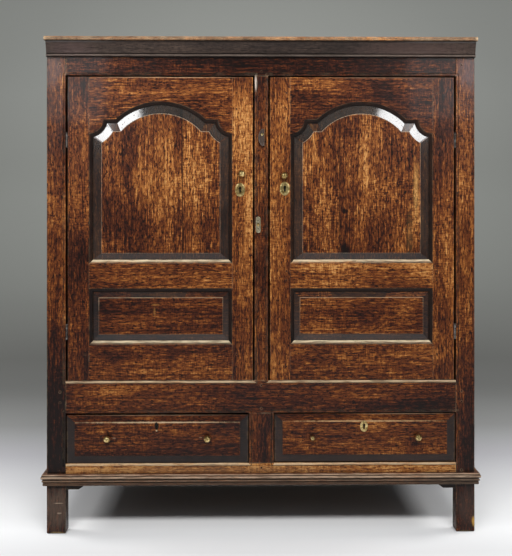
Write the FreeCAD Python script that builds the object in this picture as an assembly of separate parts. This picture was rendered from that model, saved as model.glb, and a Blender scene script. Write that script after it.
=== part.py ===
import FreeCAD, Part
import math
import os

# A joined oak press cupboard: two doors with arched fielded panels above two drawers, on stile feet.
# Lengths are in millimetres. The front faces -Y, the feet stand on Z = 0 and X = 0 is the middle.

# Overall sizes
body_width = 1410.0
carcass_depth = 530.0
total_height = 1631.0

# Joined front frame
stile_width = 62.0
stile_thickness = 43.0
rail_thickness = 24.0
bottom_rail_base = 161.0
bottom_rail_height = 69.0
drawer_opening_height = 165.0
middle_rail_height = 107.0
top_rail_height = 112.0
door_muntin_width = 46.0
door_muntin_thickness = 40.0
drawer_muntin_width = 82.0
shoulder_drop = 15.0
shoulder_flat = 42.0
shoulder_slope = 22.0
foot_chamfer = 4.0

# Scratched bead along the edges of the openings
bead_width = 9.0
quirk_width = 2.0
quirk_depth = 1.8
bead_round = 3.0
bead_flat_count = 2

# Mortise and tenon joints
tenon_thickness = 10.0
rail_tenon_length = 38.0
side_tenon_length = 20.0
muntin_tenon_length = 30.0
tenon_shoulder = 14.0
frame_tenon_setback = 7.0
mortise_end_gap = 2.0
peg_radius = 4.0
peg_flat_count = 4
frame_peg_length = 34.0
peg_height_shares = (0.28, 0.72)

# Framed sides, back, top and boards inside
side_frame_thickness = 24.0
side_panel_bevel = 32.0
back_rail_thickness = 22.0
back_board_thickness = 10.0
back_board_count = 6
board_gap = 0.8
top_board_thickness = 13.0
top_front_overhang = 28.0
top_side_overhang = 4.0
top_edge_round = 4.0
top_joint_share = 0.55
shelf_thickness = 18.0
shelf_rise_share = 0.62
shelf_front_setback = 50.0
floor_thickness = 16.0
board_end_gap = 1.0
bearer_width = 20.0
bearer_height = 22.0

# Cornice along the front
cornice_height = 51.0
cornice_bead_height = 9.0
cornice_quirk = 2.0
cornice_foot_projection = 10.0
cornice_bead_swell = 3.0
cornice_top_projection = 20.0
cornice_fillet_height = 6.0
cornice_hollow = 1.5

# Base moulding along the front and the sides
fascia_height = 10.0
fascia_projection = 11.0
base_quirk = 1.5
base_bead_height = 8.0
base_bead_swell = 4.0
base_torus_height = 13.0
base_torus_swell = 7.0
base_ledge_height = 3.0
base_ledge_projection = 14.0
base_core_projection = 10.0
moulding_step_count = 5

# Doors
door_hinge_gap = 6.7
door_lock_gap = 5.3
door_bottom_gap = 2.0
door_top_gap = 4.0
door_thickness = 22.0
hinge_stile_width = 81.4
lock_stile_width = 79.1
door_moulding_width = 12.0
door_moulding_depth = 8.0
door_moulding_quirk = 1.5
door_bottom_rail_height = 129.0
lower_panel_height = 162.0
door_middle_rail_height = 105.0
arch_margin = 79.5
arch_rise = 59.0
arch_half_chord = 149.0
lobe_radius = 47.0
arch_flat_count = 14
lobe_flat_count = 3
groove_depth = 10.0
groove_width = 5.2
groove_setback = 8.9
tongue_thickness = 5.0
tongue_length = 8.0
panel_bevel_side = 28.0
panel_bevel_bottom = 21.0
lower_bevel_side = 19.0
field_step = 1.5
field_setback = 3.5
door_tenon_length = 42.0
door_tenon_thickness = 8.0
door_tenon_setback = 7.5
door_tenon_shoulder = 18.0
door_peg_radius = 3.4
door_peg_inset = 13.0
moulding_step_shares = (0.0, 0.68, 1.0)

# Butt hinges
hinge_length = 51.0
hinge_leaf_thickness = 1.6
hinge_leaf_width = 18.0
hinge_leaf_setback = 3.6
barrel_radius = 3.1
pin_radius = 1.5
pin_proud = 1.0
knuckle_count = 3
upper_hinge_drop = 207.0
lower_hinge_height = 160.0

# Clearances and the overrun of cutting shapes
running_gap = 0.3
pin_play = 0.1
flatness = 0.000001
knuckle_gap = 0.15
overrun = 2.0

# Turned brass knobs
knob_radius = 11.5
small_knob_radius = 8.0
knob_projection = 25.0
knob_collar_radius = 8.0
knob_collar_thickness = 2.0
knob_neck_radius = 4.5
knob_neck_share = 0.4
knob_widest_share = 0.68
knob_under_shares = (0.0, 0.5, 1.0)
knob_dome_shares = (0.45, 0.85)
knob_flat_count = 12
nut_flat_count = 6
bore_flat_count = 6
barrel_flat_count = 8
head_flat_count = 8
knob_shank_radius = 3.0
knob_nut_radius = 7.0
knob_nut_thickness = 4.0
left_knob_inset = 36.3
left_knob_rise = 52.6
right_knob_inset = 46.8
right_knob_rise = 42.6

# Oval escutcheons and keyholes
escutcheon_width = 33.6
escutcheon_height = 45.5
escutcheon_thickness = 1.6
escutcheon_front_share = 0.93
oval_flat_count = 14
keyhole_radius = 3.6
keyhole_slot_width = 4.0
keyhole_slot_length = 13.0
left_keyhole_inset = 41.9
left_keyhole_share = 0.6283
right_keyhole_inset = 48.8
right_keyhole_share = 0.6323
drawer_escutcheon_width = 26.0
drawer_escutcheon_height = 36.0

# Locks
lock_case_length = 74.0
lock_case_height = 58.0
lock_case_thickness = 13.0
lock_wall = 2.0
bolt_height = 18.0
bolt_length = 40.0
bolt_end_gap = 0.7
bolt_mortise_depth = 12.0
bolt_mortise_play = 0.5
lock_cavity_length = 62.0
drawer_lock_width = 62.0
drawer_lock_height = 58.0
drawer_lock_thickness = 11.0
drawer_lock_let_in = 10.0
drawer_bolt_width = 20.0
drawer_bolt_length = 28.0
drawer_bolt_mortise_depth = 14.0

# Drawers
drawer_side_gap = 2.0
drawer_front_gap = 7.0
drawer_front_thickness = 22.0
left_front_lift = 1.0
right_front_lift = 3.5
drawer_side_thickness = 11.0
drawer_side_gap_above = 17.0
drawer_back_clearance = 56.0
drawer_back_thickness = 10.0
drawer_bottom_thickness = 7.0
drawer_bottom_rise = 9.0
drawer_bottom_groove = 5.0
dovetail_count = 4
dovetail_depth = 15.0
dovetail_root_share = 0.5
dovetail_tip_share = 0.72
drawer_bevel_side = 27.0
drawer_bevel_height = 24.0
drawer_bevel_depth = 5.0
left_knob_spacing = 328.0
right_knob_spacing = 348.0
drawer_knob_rise = 4.0
drawer_keyhole_rise = 38.0
left_drawer_keyhole_offset = 3.0
right_drawer_keyhole_offset = 3.3

# Runners, guides and kickers for the drawers
runner_width = 22.0
runner_height = 30.0
guide_height = 20.0
guide_gap = 1.0
kicker_height = 26.0

# Turn buttons on the upright between the doors
upper_button_length = 56.0
upper_button_width = 20.0
upper_button_thickness = 9.0
upper_button_tip_share = 0.45
upper_button_pivot_share = 0.32
upper_button_flat_share = 0.4
upper_button_drop = 193.0
upper_button_offset = 2.0
lower_button_length = 54.0
lower_button_width = 16.0
lower_button_thickness = 3.0
lower_button_share = 0.512
lower_button_offset = -10.5
lower_button_boss_radius = 5.5
lower_button_boss_height = 4.0
lower_button_hole_radius = 2.2
lower_button_hole_spacing = 28.0
button_screw_radius = 2.5
button_screw_head_radius = 4.5
button_screw_head_height = 2.0
button_screw_length = 24.0
button_end_count = 6
screw_dome_shares = (0.0, 0.4, 0.8)

# Places that follow from the sizes above
half_body = body_width / 2
inner_x = half_body - stile_width
front_y = (top_front_overhang - carcass_depth) / 2
back_y = front_y + carcass_depth
frame_top = total_height - top_board_thickness
drawer_low_z = bottom_rail_base + bottom_rail_height
drawer_high_z = drawer_low_z + drawer_opening_height
door_low_z = drawer_high_z + middle_rail_height
door_high_z = frame_top - top_rail_height
side_inner_x = half_body - side_frame_thickness
front_frame_back_y = front_y + stile_thickness
back_frame_front_y = back_y - stile_thickness
back_rail_front_y = back_y - back_board_thickness - back_rail_thickness
half_door_muntin = door_muntin_width / 2
half_drawer_muntin = drawer_muntin_width / 2
door_base_z = door_low_z + door_bottom_gap
door_top_z = door_high_z - door_top_gap
door_outer_x = inner_x - door_hinge_gap
door_lock_x = half_door_muntin + door_lock_gap
sight_outer_x = door_outer_x - hinge_stile_width
sight_inner_x = door_lock_x + lock_stile_width
shoulder_outer_x = sight_outer_x + door_moulding_width
shoulder_inner_x = sight_inner_x - door_moulding_width
lower_sight_low_z = door_base_z + door_bottom_rail_height
lower_sight_high_z = lower_sight_low_z + lower_panel_height
upper_sight_low_z = lower_sight_high_z + door_middle_rail_height
arch_peak_z = door_top_z - arch_margin
arch_step_z = arch_peak_z - arch_rise
arch_radius = (arch_half_chord ** 2 + arch_rise ** 2) / (2 * arch_rise)
arch_centre_x = (shoulder_outer_x + shoulder_inner_x) / 2
arch_centre_z = arch_peak_z - arch_radius
shelf_low_z = lower_sight_high_z + door_middle_rail_height * shelf_rise_share
floor_low_z = door_low_z - floor_thickness
drawer_front_height = drawer_opening_height - drawer_front_gap
drawer_side_height = drawer_opening_height - drawer_side_gap_above
drawer_length = back_rail_front_y - front_y - drawer_front_thickness - drawer_back_clearance
bore_inner_share = math.cos(math.pi / bore_flat_count)
bore_radius = (pin_radius + pin_play) / bore_inner_share
screw_hole_radius = (button_screw_radius + pin_play) / bore_inner_share
hinge_x = inner_x - door_hinge_gap / 2
hinge_y = front_y - pin_proud


def box(low_x, high_x, low_y, high_y, low_z, high_z):
    """Block between two opposite corners."""
    corner = FreeCAD.Vector(low_x, low_y, low_z)
    return Part.makeBox(high_x - low_x, high_y - low_y, high_z - low_z, corner)


def front_prism(points, low_y, high_y):
    """Outline seen from the front, as (x, z) points, given a depth."""
    corners = [FreeCAD.Vector(x, low_y, z) for x, z in points]
    face = Part.Face(Part.makePolygon(corners + corners[:1]))
    return face.extrude(FreeCAD.Vector(0, high_y - low_y, 0))


def side_prism(points, low_x, high_x):
    """Outline seen from the side, as (y, z) points, given a width."""
    corners = [FreeCAD.Vector(low_x, y, z) for y, z in points]
    face = Part.Face(Part.makePolygon(corners + corners[:1]))
    return face.extrude(FreeCAD.Vector(high_x - low_x, 0, 0))


def plan_prism(points, low_z, high_z):
    """Outline seen from above, as (x, y) points, given a height."""
    corners = [FreeCAD.Vector(x, y, low_z) for x, y in points]
    face = Part.Face(Part.makePolygon(corners + corners[:1]))
    return face.extrude(FreeCAD.Vector(0, 0, high_z - low_z))


def mirrored(shape):
    """The same shape on the other side of the middle."""
    return shape.mirror(FreeCAD.Vector(0, 0, 0), FreeCAD.Vector(1, 0, 0))


def both_sides(shape):
    """A shape and its mirror image."""
    return [shape, mirrored(shape)]


def cut_all(shape, tools):
    """Shape less every tool."""
    return shape.cut(tools) if tools else shape


def ring(centre_a, centre_b, size_a, size_b, flats):
    """Corners of a round or oval outline, with a flat square to each axis."""
    turn = 2 * math.pi / flats
    angles = [turn * (step + 0.5) for step in range(flats)]
    return [(centre_a + size_a / 2 * math.cos(a), centre_b + size_b / 2 * math.sin(a)) for a in angles]


def disc(centre_a, centre_b, radius, flats):
    """Corners of a round outline."""
    return ring(centre_a, centre_b, 2 * radius, 2 * radius, flats)


def peg_from_front(x, z, low_y, high_y, radius):
    """Riven peg in flats, driven in from the front or the back."""
    return front_prism(disc(x, z, radius, peg_flat_count), low_y, high_y)


def peg_from_side(y, z, low_x, high_x, radius):
    """Riven peg in flats, driven in from the side."""
    return side_prism(disc(y, z, radius, peg_flat_count), low_x, high_x)


def peg_heights(low_z, high_z):
    """Heights of the two pegs of one joint."""
    return [low_z + (high_z - low_z) * share for share in peg_height_shares]


def round_edge_tool(start, along, inward_a, inward_b, radius):
    """Waste between a square edge and a quarter round in flats, along the edge."""
    centre = start + (inward_a + inward_b) * radius
    corners = [start]
    for step in range(bead_flat_count + 1):
        turn = math.pi / 2 * step / bead_flat_count
        corners.append(centre - inward_a * radius * math.sin(turn) - inward_b * radius * math.cos(turn))
    return Part.Face(Part.makePolygon(corners + corners[:1])).extrude(along)


def opening_bead_tools(low_x, high_x, low_z, high_z):
    """Waste of the scratched bead round one opening: four quirks and four rounded edges."""
    outward = FreeCAD.Vector(0, 1, 0)
    near = bead_width - quirk_width
    far = bead_width
    tools = []
    for edge_z, away in ((low_z, -1), (high_z, 1)):
        groove = [(front_y, edge_z + away * near), (front_y, edge_z + away * far),
                  (front_y + quirk_depth, edge_z + away * (near + far) / 2)]
        tools.append(side_prism(groove, low_x - far, high_x + far))
        start = FreeCAD.Vector(low_x, front_y, edge_z)
        along = FreeCAD.Vector(high_x - low_x, 0, 0)
        tools.append(round_edge_tool(start, along, FreeCAD.Vector(0, 0, away), outward, bead_round))
    for edge_x, away in ((low_x, -1), (high_x, 1)):
        groove = [(edge_x + away * near, front_y), (edge_x + away * far, front_y),
                  (edge_x + away * (near + far) / 2, front_y + quirk_depth)]
        tools.append(plan_prism(groove, low_z - far, high_z + far))
        start = FreeCAD.Vector(edge_x, front_y, low_z)
        along = FreeCAD.Vector(0, 0, high_z - low_z)
        tools.append(round_edge_tool(start, along, FreeCAD.Vector(away, 0, 0), outward, bead_round))
    return tools


def all_bead_tools():
    """Bead waste of the two door openings and the two drawer openings."""
    tools = []
    tools += opening_bead_tools(-inner_x, -half_door_muntin, door_low_z, door_high_z)
    tools += opening_bead_tools(half_door_muntin, inner_x, door_low_z, door_high_z)
    tools += opening_bead_tools(-inner_x, -half_drawer_muntin, drawer_low_z, drawer_high_z)
    tools += opening_bead_tools(half_drawer_muntin, inner_x, drawer_low_z, drawer_high_z)
    return tools


def rail_rows():
    """Low and high edge of each row of rails on the sides and the back."""
    return [
        (bottom_rail_base, drawer_low_z),
        (drawer_high_z, door_low_z),
        (lower_sight_high_z, upper_sight_low_z),
        (door_high_z, frame_top),
    ]


def front_rail_rows():
    """Low and high edge of the front rails."""
    return [(bottom_rail_base, drawer_low_z), (drawer_high_z, door_low_z), (door_high_z, frame_top)]


def tenon_span(low_z, high_z):
    """Height of a tenon on a rail between these edges."""
    return low_z + tenon_shoulder, high_z - tenon_shoulder


def front_tenon(low_z, high_z, end_gap):
    """Tenon of a front rail in the right stile, longer by the gap where it cuts the mortise."""
    low, high = tenon_span(low_z, high_z)
    low_y = front_y + frame_tenon_setback
    return box(inner_x, inner_x + rail_tenon_length + end_gap, low_y, low_y + tenon_thickness, low, high)


def back_tenon(low_z, high_z, end_gap):
    """Tenon of a back rail in the right back stile."""
    low, high = tenon_span(low_z, high_z)
    low_y = back_rail_front_y + (back_rail_thickness - tenon_thickness) / 2
    return box(inner_x, inner_x + rail_tenon_length + end_gap, low_y, low_y + tenon_thickness, low, high)


def side_tenon(low_z, high_z, end_gap, at_front):
    """Tenon of a right side rail in the front or the back stile."""
    low, high = tenon_span(low_z, high_z)
    low_x = half_body - (side_frame_thickness + tenon_thickness) / 2
    high_x = low_x + tenon_thickness
    length = side_tenon_length + end_gap
    if at_front:
        return box(low_x, high_x, front_frame_back_y - length, front_frame_back_y, low, high)
    return box(low_x, high_x, back_frame_front_y, back_frame_front_y + length, low, high)


def side_groove(low_z, high_z):
    """Groove round one opening of the right side frame, for the edge of its panel."""
    centre_x = half_body - side_frame_thickness / 2
    half = groove_width / 2
    return box(centre_x - half, centre_x + half, front_frame_back_y - groove_depth,
               back_frame_front_y + groove_depth, low_z - groove_depth, high_z + groove_depth)


def side_grooves():
    """Grooves of the three openings of the right side frame."""
    rows = rail_rows()
    return [side_groove(below[1], above[0]) for below, above in zip(rows, rows[1:])]


def front_pegs():
    """Pegs through the tenons of the front rails in the right stile."""
    x = inner_x + rail_tenon_length / 2
    pegs = []
    for low_z, high_z in front_rail_rows():
        for z in peg_heights(*tenon_span(low_z, high_z)):
            pegs.append(peg_from_front(x, z, front_y, front_y + frame_peg_length, peg_radius))
    return pegs


def back_pegs():
    """One peg through each tenon of the back rails in the right back stile."""
    x = inner_x + rail_tenon_length / 2
    heights = [(low_z + high_z) / 2 for low_z, high_z in rail_rows()]
    return [peg_from_front(x, z, back_y - frame_peg_length, back_y, peg_radius) for z in heights]


def side_pegs():
    """Pegs through the tenons of the right side rails, one in each joint."""
    low_x = half_body - side_frame_thickness
    rows_y = (front_frame_back_y - side_tenon_length / 2, back_frame_front_y + side_tenon_length / 2)
    pegs = []
    for low_z, high_z in rail_rows():
        middle_z = (low_z + high_z) / 2
        for y in rows_y:
            pegs.append(peg_from_side(y, middle_z, low_x, half_body, peg_radius))
    return pegs


def muntin_tenon(half_width, low_z, high_z):
    """Tenon or mortise at one end of an upright between the openings."""
    low_y = front_y + frame_tenon_setback
    side = half_width - tenon_shoulder / 2
    return box(-side, side, low_y, low_y + tenon_thickness, low_z, high_z)


def muntin_mortises():
    """Waste of the mortises in the rails above and below the two uprights."""
    reach = muntin_tenon_length + mortise_end_gap
    return [
        muntin_tenon(half_door_muntin, door_high_z, door_high_z + reach),
        muntin_tenon(half_door_muntin, door_low_z - reach, door_low_z),
        muntin_tenon(half_drawer_muntin, drawer_high_z, drawer_high_z + reach),
        muntin_tenon(half_drawer_muntin, drawer_low_z - reach, drawer_low_z),
    ]


def muntin_pegs():
    """One peg through each tenon of the two uprights."""
    reach = muntin_tenon_length / 2
    heights = (door_high_z + reach, door_low_z - reach, drawer_high_z + reach, drawer_low_z - reach)
    return [peg_from_front(0, z, front_y, front_y + rail_thickness, peg_radius) for z in heights]


def stile_block(low_y, high_y):
    """Right stile as a plain post with the edges of its foot chamfered."""
    post = box(inner_x, half_body, low_y, high_y, 0, frame_top)
    foot_edges = [edge for edge in post.Edges if edge.BoundBox.ZMax < overrun]
    return post.makeChamfer(foot_chamfer, foot_edges)


def front_stile():
    """Right front stile with mortises, grooves, peg holes and bead."""
    stile = stile_block(front_y, front_frame_back_y)
    tools = [front_tenon(low, high, mortise_end_gap) for low, high in front_rail_rows()]
    tools += [side_tenon(low, high, mortise_end_gap, True) for low, high in rail_rows()]
    tools += side_grooves() + front_pegs() + side_pegs() + all_bead_tools()
    return cut_all(stile, tools)


def back_stile():
    """Right back stile with mortises, grooves and peg holes."""
    stile = stile_block(back_frame_front_y, back_y)
    tools = [back_tenon(low, high, mortise_end_gap) for low, high in rail_rows()]
    tools += [side_tenon(low, high, mortise_end_gap, False) for low, high in rail_rows()]
    tools += side_grooves() + back_pegs() + side_pegs()
    return cut_all(stile, tools)


def front_rail(low_z, high_z):
    """Front rail between the stiles, tenoned at both ends."""
    rail = box(-inner_x, inner_x, front_y, front_y + rail_thickness, low_z, high_z)
    tenon = front_tenon(low_z, high_z, 0)
    return rail.fuse(both_sides(tenon))


def finish_front_rail(rail):
    """Front rail with its mortises, peg holes and beads cut."""
    pegs = front_pegs()
    tools = muntin_mortises() + muntin_pegs() + pegs + [mirrored(peg) for peg in pegs] + all_bead_tools()
    return cut_all(rail, tools).removeSplitter()


def front_top_rail():
    """Rail above the doors."""
    return finish_front_rail(front_rail(door_high_z, frame_top))


def front_middle_rail():
    """Rail between the doors and the drawers, with mortises for the bolts of the drawer locks."""
    rail = finish_front_rail(front_rail(drawer_high_z, door_low_z))
    return cut_all(rail, [drawer_bolt_mortise(side) for side in (-1, 1)])


def front_bottom_rail():
    """Rail under the drawers, whose lower edge drops in a shoulder beside each foot."""
    drop_z = bottom_rail_base - shoulder_drop
    flat_x = inner_x - shoulder_flat
    slope_x = flat_x - shoulder_slope
    shoulder = [(inner_x, bottom_rail_base), (inner_x, drop_z), (flat_x, drop_z),
                (slope_x, bottom_rail_base)]
    block = front_prism(shoulder, front_y, front_y + rail_thickness)
    rail = front_rail(bottom_rail_base, drawer_low_z).fuse(both_sides(block))
    return finish_front_rail(rail)


def upright(half_width, thickness, low_z, high_z):
    """Upright between two openings, tenoned into the rails above and below."""
    post = box(-half_width, half_width, front_y, front_y + thickness, low_z, high_z)
    top = muntin_tenon(half_width, high_z, high_z + muntin_tenon_length)
    bottom = muntin_tenon(half_width, low_z - muntin_tenon_length, low_z)
    return cut_all(post.fuse([top, bottom]), muntin_pegs() + all_bead_tools()).removeSplitter()


def door_muntin():
    """Upright between the doors, with lock mortises and screw holes for the turn buttons."""
    post = upright(half_door_muntin, door_muntin_thickness, door_low_z, door_high_z)
    return cut_all(post, [lock_bolt_mortise(side) for side in (-1, 1)] + button_screw_holes())


def drawer_muntin():
    """Upright between the drawers."""
    return upright(half_drawer_muntin, rail_thickness, drawer_low_z, drawer_high_z)


def side_rail(low_z, high_z):
    """Right side rail with a tenon at each end."""
    rail = box(side_inner_x, half_body, front_frame_back_y, back_frame_front_y, low_z, high_z)
    return rail.fuse([side_tenon(low_z, high_z, 0, True), side_tenon(low_z, high_z, 0, False)])


def side_rails():
    """Four rails on each side."""
    tools = side_grooves() + side_pegs()
    rails = [cut_all(side_rail(low, high), tools).removeSplitter() for low, high in rail_rows()]
    return rails + [mirrored(rail) for rail in rails]


def side_rectangle(x, low_z, high_z, inset):
    """Outline of a side opening, drawn in from its edges."""
    return [
        FreeCAD.Vector(x, front_frame_back_y + inset, low_z + inset),
        FreeCAD.Vector(x, back_frame_front_y - inset, low_z + inset),
        FreeCAD.Vector(x, back_frame_front_y - inset, high_z - inset),
        FreeCAD.Vector(x, front_frame_back_y + inset, high_z - inset),
    ]


def side_panel(low_z, high_z):
    """Fielded panel of the right side: tongue all round, bevel and raised field."""
    centre_x = half_body - side_frame_thickness / 2
    half = tongue_thickness / 2
    tongue = box(centre_x - half, centre_x + half, front_frame_back_y - tongue_length,
                 back_frame_front_y + tongue_length, low_z - tongue_length, high_z + tongue_length)
    field_x = half_body - field_setback - field_step
    outer = side_rectangle(centre_x + half, low_z, high_z, 0)
    inner = side_rectangle(field_x, low_z, high_z, side_panel_bevel)
    bevel = ringed([outer, inner])
    field = ringed([inner, side_rectangle(field_x + field_step, low_z, high_z, side_panel_bevel)])
    return tongue.fuse([bevel, field]).removeSplitter()


def side_panels():
    """Three fielded panels on each side."""
    rows = rail_rows()
    panels = [side_panel(below[1], above[0]) for below, above in zip(rows, rows[1:])]
    return panels + [mirrored(panel) for panel in panels]


def back_rails():
    """Four rails across the back, tenoned into the back stiles."""
    pegs = back_pegs()
    holes = pegs + [mirrored(peg) for peg in pegs]
    rail_back_y = back_rail_front_y + back_rail_thickness
    rails = []
    for low_z, high_z in rail_rows():
        rail = box(-inner_x, inner_x, back_rail_front_y, rail_back_y, low_z, high_z)
        tenon = back_tenon(low_z, high_z, 0)
        rails.append(cut_all(rail.fuse(both_sides(tenon)), holes).removeSplitter())
    return rails


def back_boards():
    """Upright boards nailed to the back rails, side by side between the stiles."""
    pitch = 2 * inner_x / back_board_count
    low_y = back_y - back_board_thickness
    boards = []
    for index in range(back_board_count):
        low_x = -inner_x + index * pitch + board_gap / 2
        boards.append(box(low_x, low_x + pitch - board_gap, low_y, back_y, bottom_rail_base, frame_top))
    return boards


def top_boards():
    """Two boards joined edge to edge, with worn front and side edges."""
    side = half_body + top_side_overhang
    low_y = front_y - top_front_overhang
    joint_y = low_y + (back_y - low_y) * top_joint_share
    front = box(-side, side, low_y, joint_y, frame_top, total_height)
    back = box(-side, side, joint_y, back_y, frame_top, total_height)
    worn = [edge for edge in front.Edges if edge.BoundBox.YMax < low_y + overrun]
    worn = [edge for edge in worn if edge.BoundBox.XLength > side]
    return [front.makeFillet(top_edge_round, worn), back]


def swelling(base, swell, low_z, height):
    """Half-round swelling of a moulding, as (projection, height) points on an arc of a sine."""
    steps = range(moulding_step_count + 1)
    turns = [math.pi * step / moulding_step_count for step in steps]
    return [(base + swell * math.sin(turn), low_z + height * (1 - math.cos(turn)) / 2) for turn in turns]


def base_moulding_profile():
    """Section of the base moulding from its foot to its top: fascia, bead, torus and ledge."""
    bead_z = bottom_rail_base + fascia_height + base_quirk
    torus_z = bead_z + base_bead_height + base_quirk
    ledge_z = torus_z + base_torus_height
    points = [(0, bottom_rail_base), (fascia_projection, bottom_rail_base)]
    points += [(fascia_projection, bottom_rail_base + fascia_height)]
    points += swelling(base_core_projection, base_bead_swell, bead_z, base_bead_height)
    points += swelling(base_core_projection, base_torus_swell, torus_z, base_torus_height)
    points += [(base_ledge_projection, ledge_z), (base_ledge_projection, ledge_z + base_ledge_height)]
    points += [(0, ledge_z + base_ledge_height)]
    return points


def base_moulding():
    """Front length and two returns, mitred at the front corners and cut square at the back."""
    profile = base_moulding_profile()
    left = [FreeCAD.Vector(-half_body - out, front_y - out, z) for out, z in profile]
    right = [FreeCAD.Vector(half_body + out, front_y - out, z) for out, z in profile]
    back = [FreeCAD.Vector(half_body + out, back_y, z) for out, z in profile]
    front = ringed([left, right])
    side = ringed([right, back])
    return [front, side, mirrored(side)]


def cornice():
    """Moulding under the front edge of the top: a bead, a quirk and a leaning hollow band."""
    low_z = frame_top - cornice_height
    band_z = low_z + cornice_bead_height + cornice_quirk
    fillet_z = frame_top - cornice_fillet_height
    points = [(0, low_z)]
    points += swelling(cornice_foot_projection, cornice_bead_swell, low_z, cornice_bead_height)
    points += [(cornice_foot_projection - cornice_quirk, band_z - cornice_quirk)]
    for step in range(moulding_step_count + 1):
        share = step / moulding_step_count
        lean = cornice_foot_projection + (cornice_top_projection - cornice_foot_projection) * share
        hollow = cornice_hollow * math.sin(math.pi * share)
        points.append((lean - hollow, band_z + (fillet_z - band_z) * share))
    points += [(cornice_top_projection, frame_top), (0, frame_top)]
    return [side_prism([(front_y - out, z) for out, z in points], -half_body, half_body)]


def cupboard_floor():
    """Floor of the cupboard, notched round the front stiles."""
    side = side_inner_x - board_end_gap
    back = back_frame_front_y - board_end_gap
    board = box(-side, side, front_frame_back_y, back, floor_low_z, door_low_z)
    nose = box(-inner_x + board_end_gap, inner_x - board_end_gap, front_y + rail_thickness,
               front_frame_back_y, floor_low_z, door_low_z)
    return [board.fuse(nose).removeSplitter()]


def cupboard_shelf():
    """Single shelf on its bearers."""
    side = side_inner_x - board_end_gap
    back = back_frame_front_y - board_end_gap
    return [box(-side, side, front_y + shelf_front_setback, back,
                shelf_low_z, shelf_low_z + shelf_thickness)]


def board_bearers():
    """Bearers nailed inside the frame, under the ends of the shelf and of the floor."""
    bearers = []
    for high_z in (shelf_low_z, floor_low_z):
        bearer = box(side_inner_x - bearer_width, side_inner_x, front_frame_back_y, back_frame_front_y,
                     high_z - bearer_height, high_z)
        bearers += both_sides(bearer)
    front = front_y + rail_thickness
    bearers.append(box(-inner_x + bearer_width, inner_x - bearer_width, front, front + bearer_width,
                       floor_low_z - bearer_height, floor_low_z))
    return bearers


def drawer_runners():
    """Runners with guides under the drawer sides, and kickers above them that stop a drawer tipping."""
    front = front_y + rail_thickness
    low_z = drawer_low_z - runner_height
    guide_top = drawer_low_z + guide_height
    guide_x = inner_x - drawer_side_gap + guide_gap
    runner = box(inner_x - runner_width, inner_x, front, back_rail_front_y, low_z, drawer_low_z)
    guide = box(guide_x, side_inner_x, front_frame_back_y, back_frame_front_y, low_z, guide_top)
    outer = runner.fuse(guide).removeSplitter()
    half = half_drawer_muntin + runner_width
    middle = box(-half, half, front, back_rail_front_y, low_z, drawer_low_z)
    inner_guide_x = half_drawer_muntin + drawer_side_gap - guide_gap
    middle_guide = box(-inner_guide_x, inner_guide_x, front, back_rail_front_y, drawer_low_z, guide_top)
    centre = middle.fuse(middle_guide).removeSplitter()
    kicker_top = drawer_high_z + kicker_height
    kicker = box(inner_x - runner_width, inner_x, front, back_rail_front_y, drawer_high_z, kicker_top)
    centre_kicker = box(-half, half, front, back_rail_front_y, drawer_high_z, kicker_top)
    return both_sides(outer) + [centre] + both_sides(kicker) + [centre_kicker]


def frame_pegs():
    """All pegs of the fixed frame, on both sides."""
    pegs = front_pegs() + back_pegs() + side_pegs()
    return pegs + [mirrored(peg) for peg in pegs] + muntin_pegs()


def arc_corners(y, centre_x, centre_z, radius, first, last, flat_count):
    """Corners along an arc seen from the front, between two turns measured from +X towards +Z."""
    corners = []
    for step in range(flat_count + 1):
        turn = first + (last - first) * step / flat_count
        x = centre_x + radius * math.cos(turn)
        corners.append(FreeCAD.Vector(x, y, centre_z + radius * math.sin(turn)))
    return corners


def arch_outline(y, inset, bottom_inset):
    """Outline of the arched opening at one depth, drawn in from the outer line of its moulding.

    Two upright sides end in quarter-round lobes about the upper corners, then come two level steps
    and an arc about the middle. Drawing it in keeps the three centres and changes the radii.
    """
    low_z = upper_sight_low_z - door_moulding_width + bottom_inset
    radius = arch_radius - inset
    lobe = lobe_radius + inset
    half = (shoulder_outer_x - shoulder_inner_x) / 2
    lean = math.asin(inset / lobe)
    rise = math.asin((arch_step_z - inset - arch_centre_z) / radius)
    right_x = arch_centre_x + half
    left_x = arch_centre_x - half
    corners = [FreeCAD.Vector(left_x + inset, y, low_z), FreeCAD.Vector(right_x - inset, y, low_z)]
    corners += arc_corners(y, right_x, arch_step_z, lobe,
                           3 * math.pi / 2 - lean, math.pi + lean, lobe_flat_count)
    corners += arc_corners(y, arch_centre_x, arch_centre_z, radius,
                           rise, math.pi - rise, arch_flat_count)
    corners += arc_corners(y, left_x, arch_step_z, lobe,
                           -lean, lean - math.pi / 2, lobe_flat_count)
    return corners


def lower_outline(y, inset, bottom_inset):
    """Outline of the lower opening at one depth, drawn in from the outer line of its moulding."""
    half = (shoulder_outer_x - shoulder_inner_x) / 2 - inset
    low_z = lower_sight_low_z - door_moulding_width + bottom_inset
    high_z = lower_sight_high_z + door_moulding_width - inset
    low_x = arch_centre_x - half
    high_x = arch_centre_x + half
    places = [(low_x, low_z), (high_x, low_z), (high_x, high_z), (low_x, high_z)]
    return [FreeCAD.Vector(x, y, z) for x, z in places]


def carried(corners, depth):
    """Solid of an outline carried straight back."""
    face = Part.Face(Part.makePolygon(corners + corners[:1]))
    return face.extrude(FreeCAD.Vector(0, depth, 0))


def flat_faces(first, second, third, fourth):
    """One face between four corners in turn where they are level, or else two."""
    normal = (second - first).cross(fourth - first).normalize()
    if abs(normal.dot(third - first)) < flatness:
        outlines = [[first, second, third, fourth, first]]
    else:
        outlines = [[first, second, third, first], [first, third, fourth, first]]
    return [Part.Face(Part.makePolygon(outline)) for outline in outlines]


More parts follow.
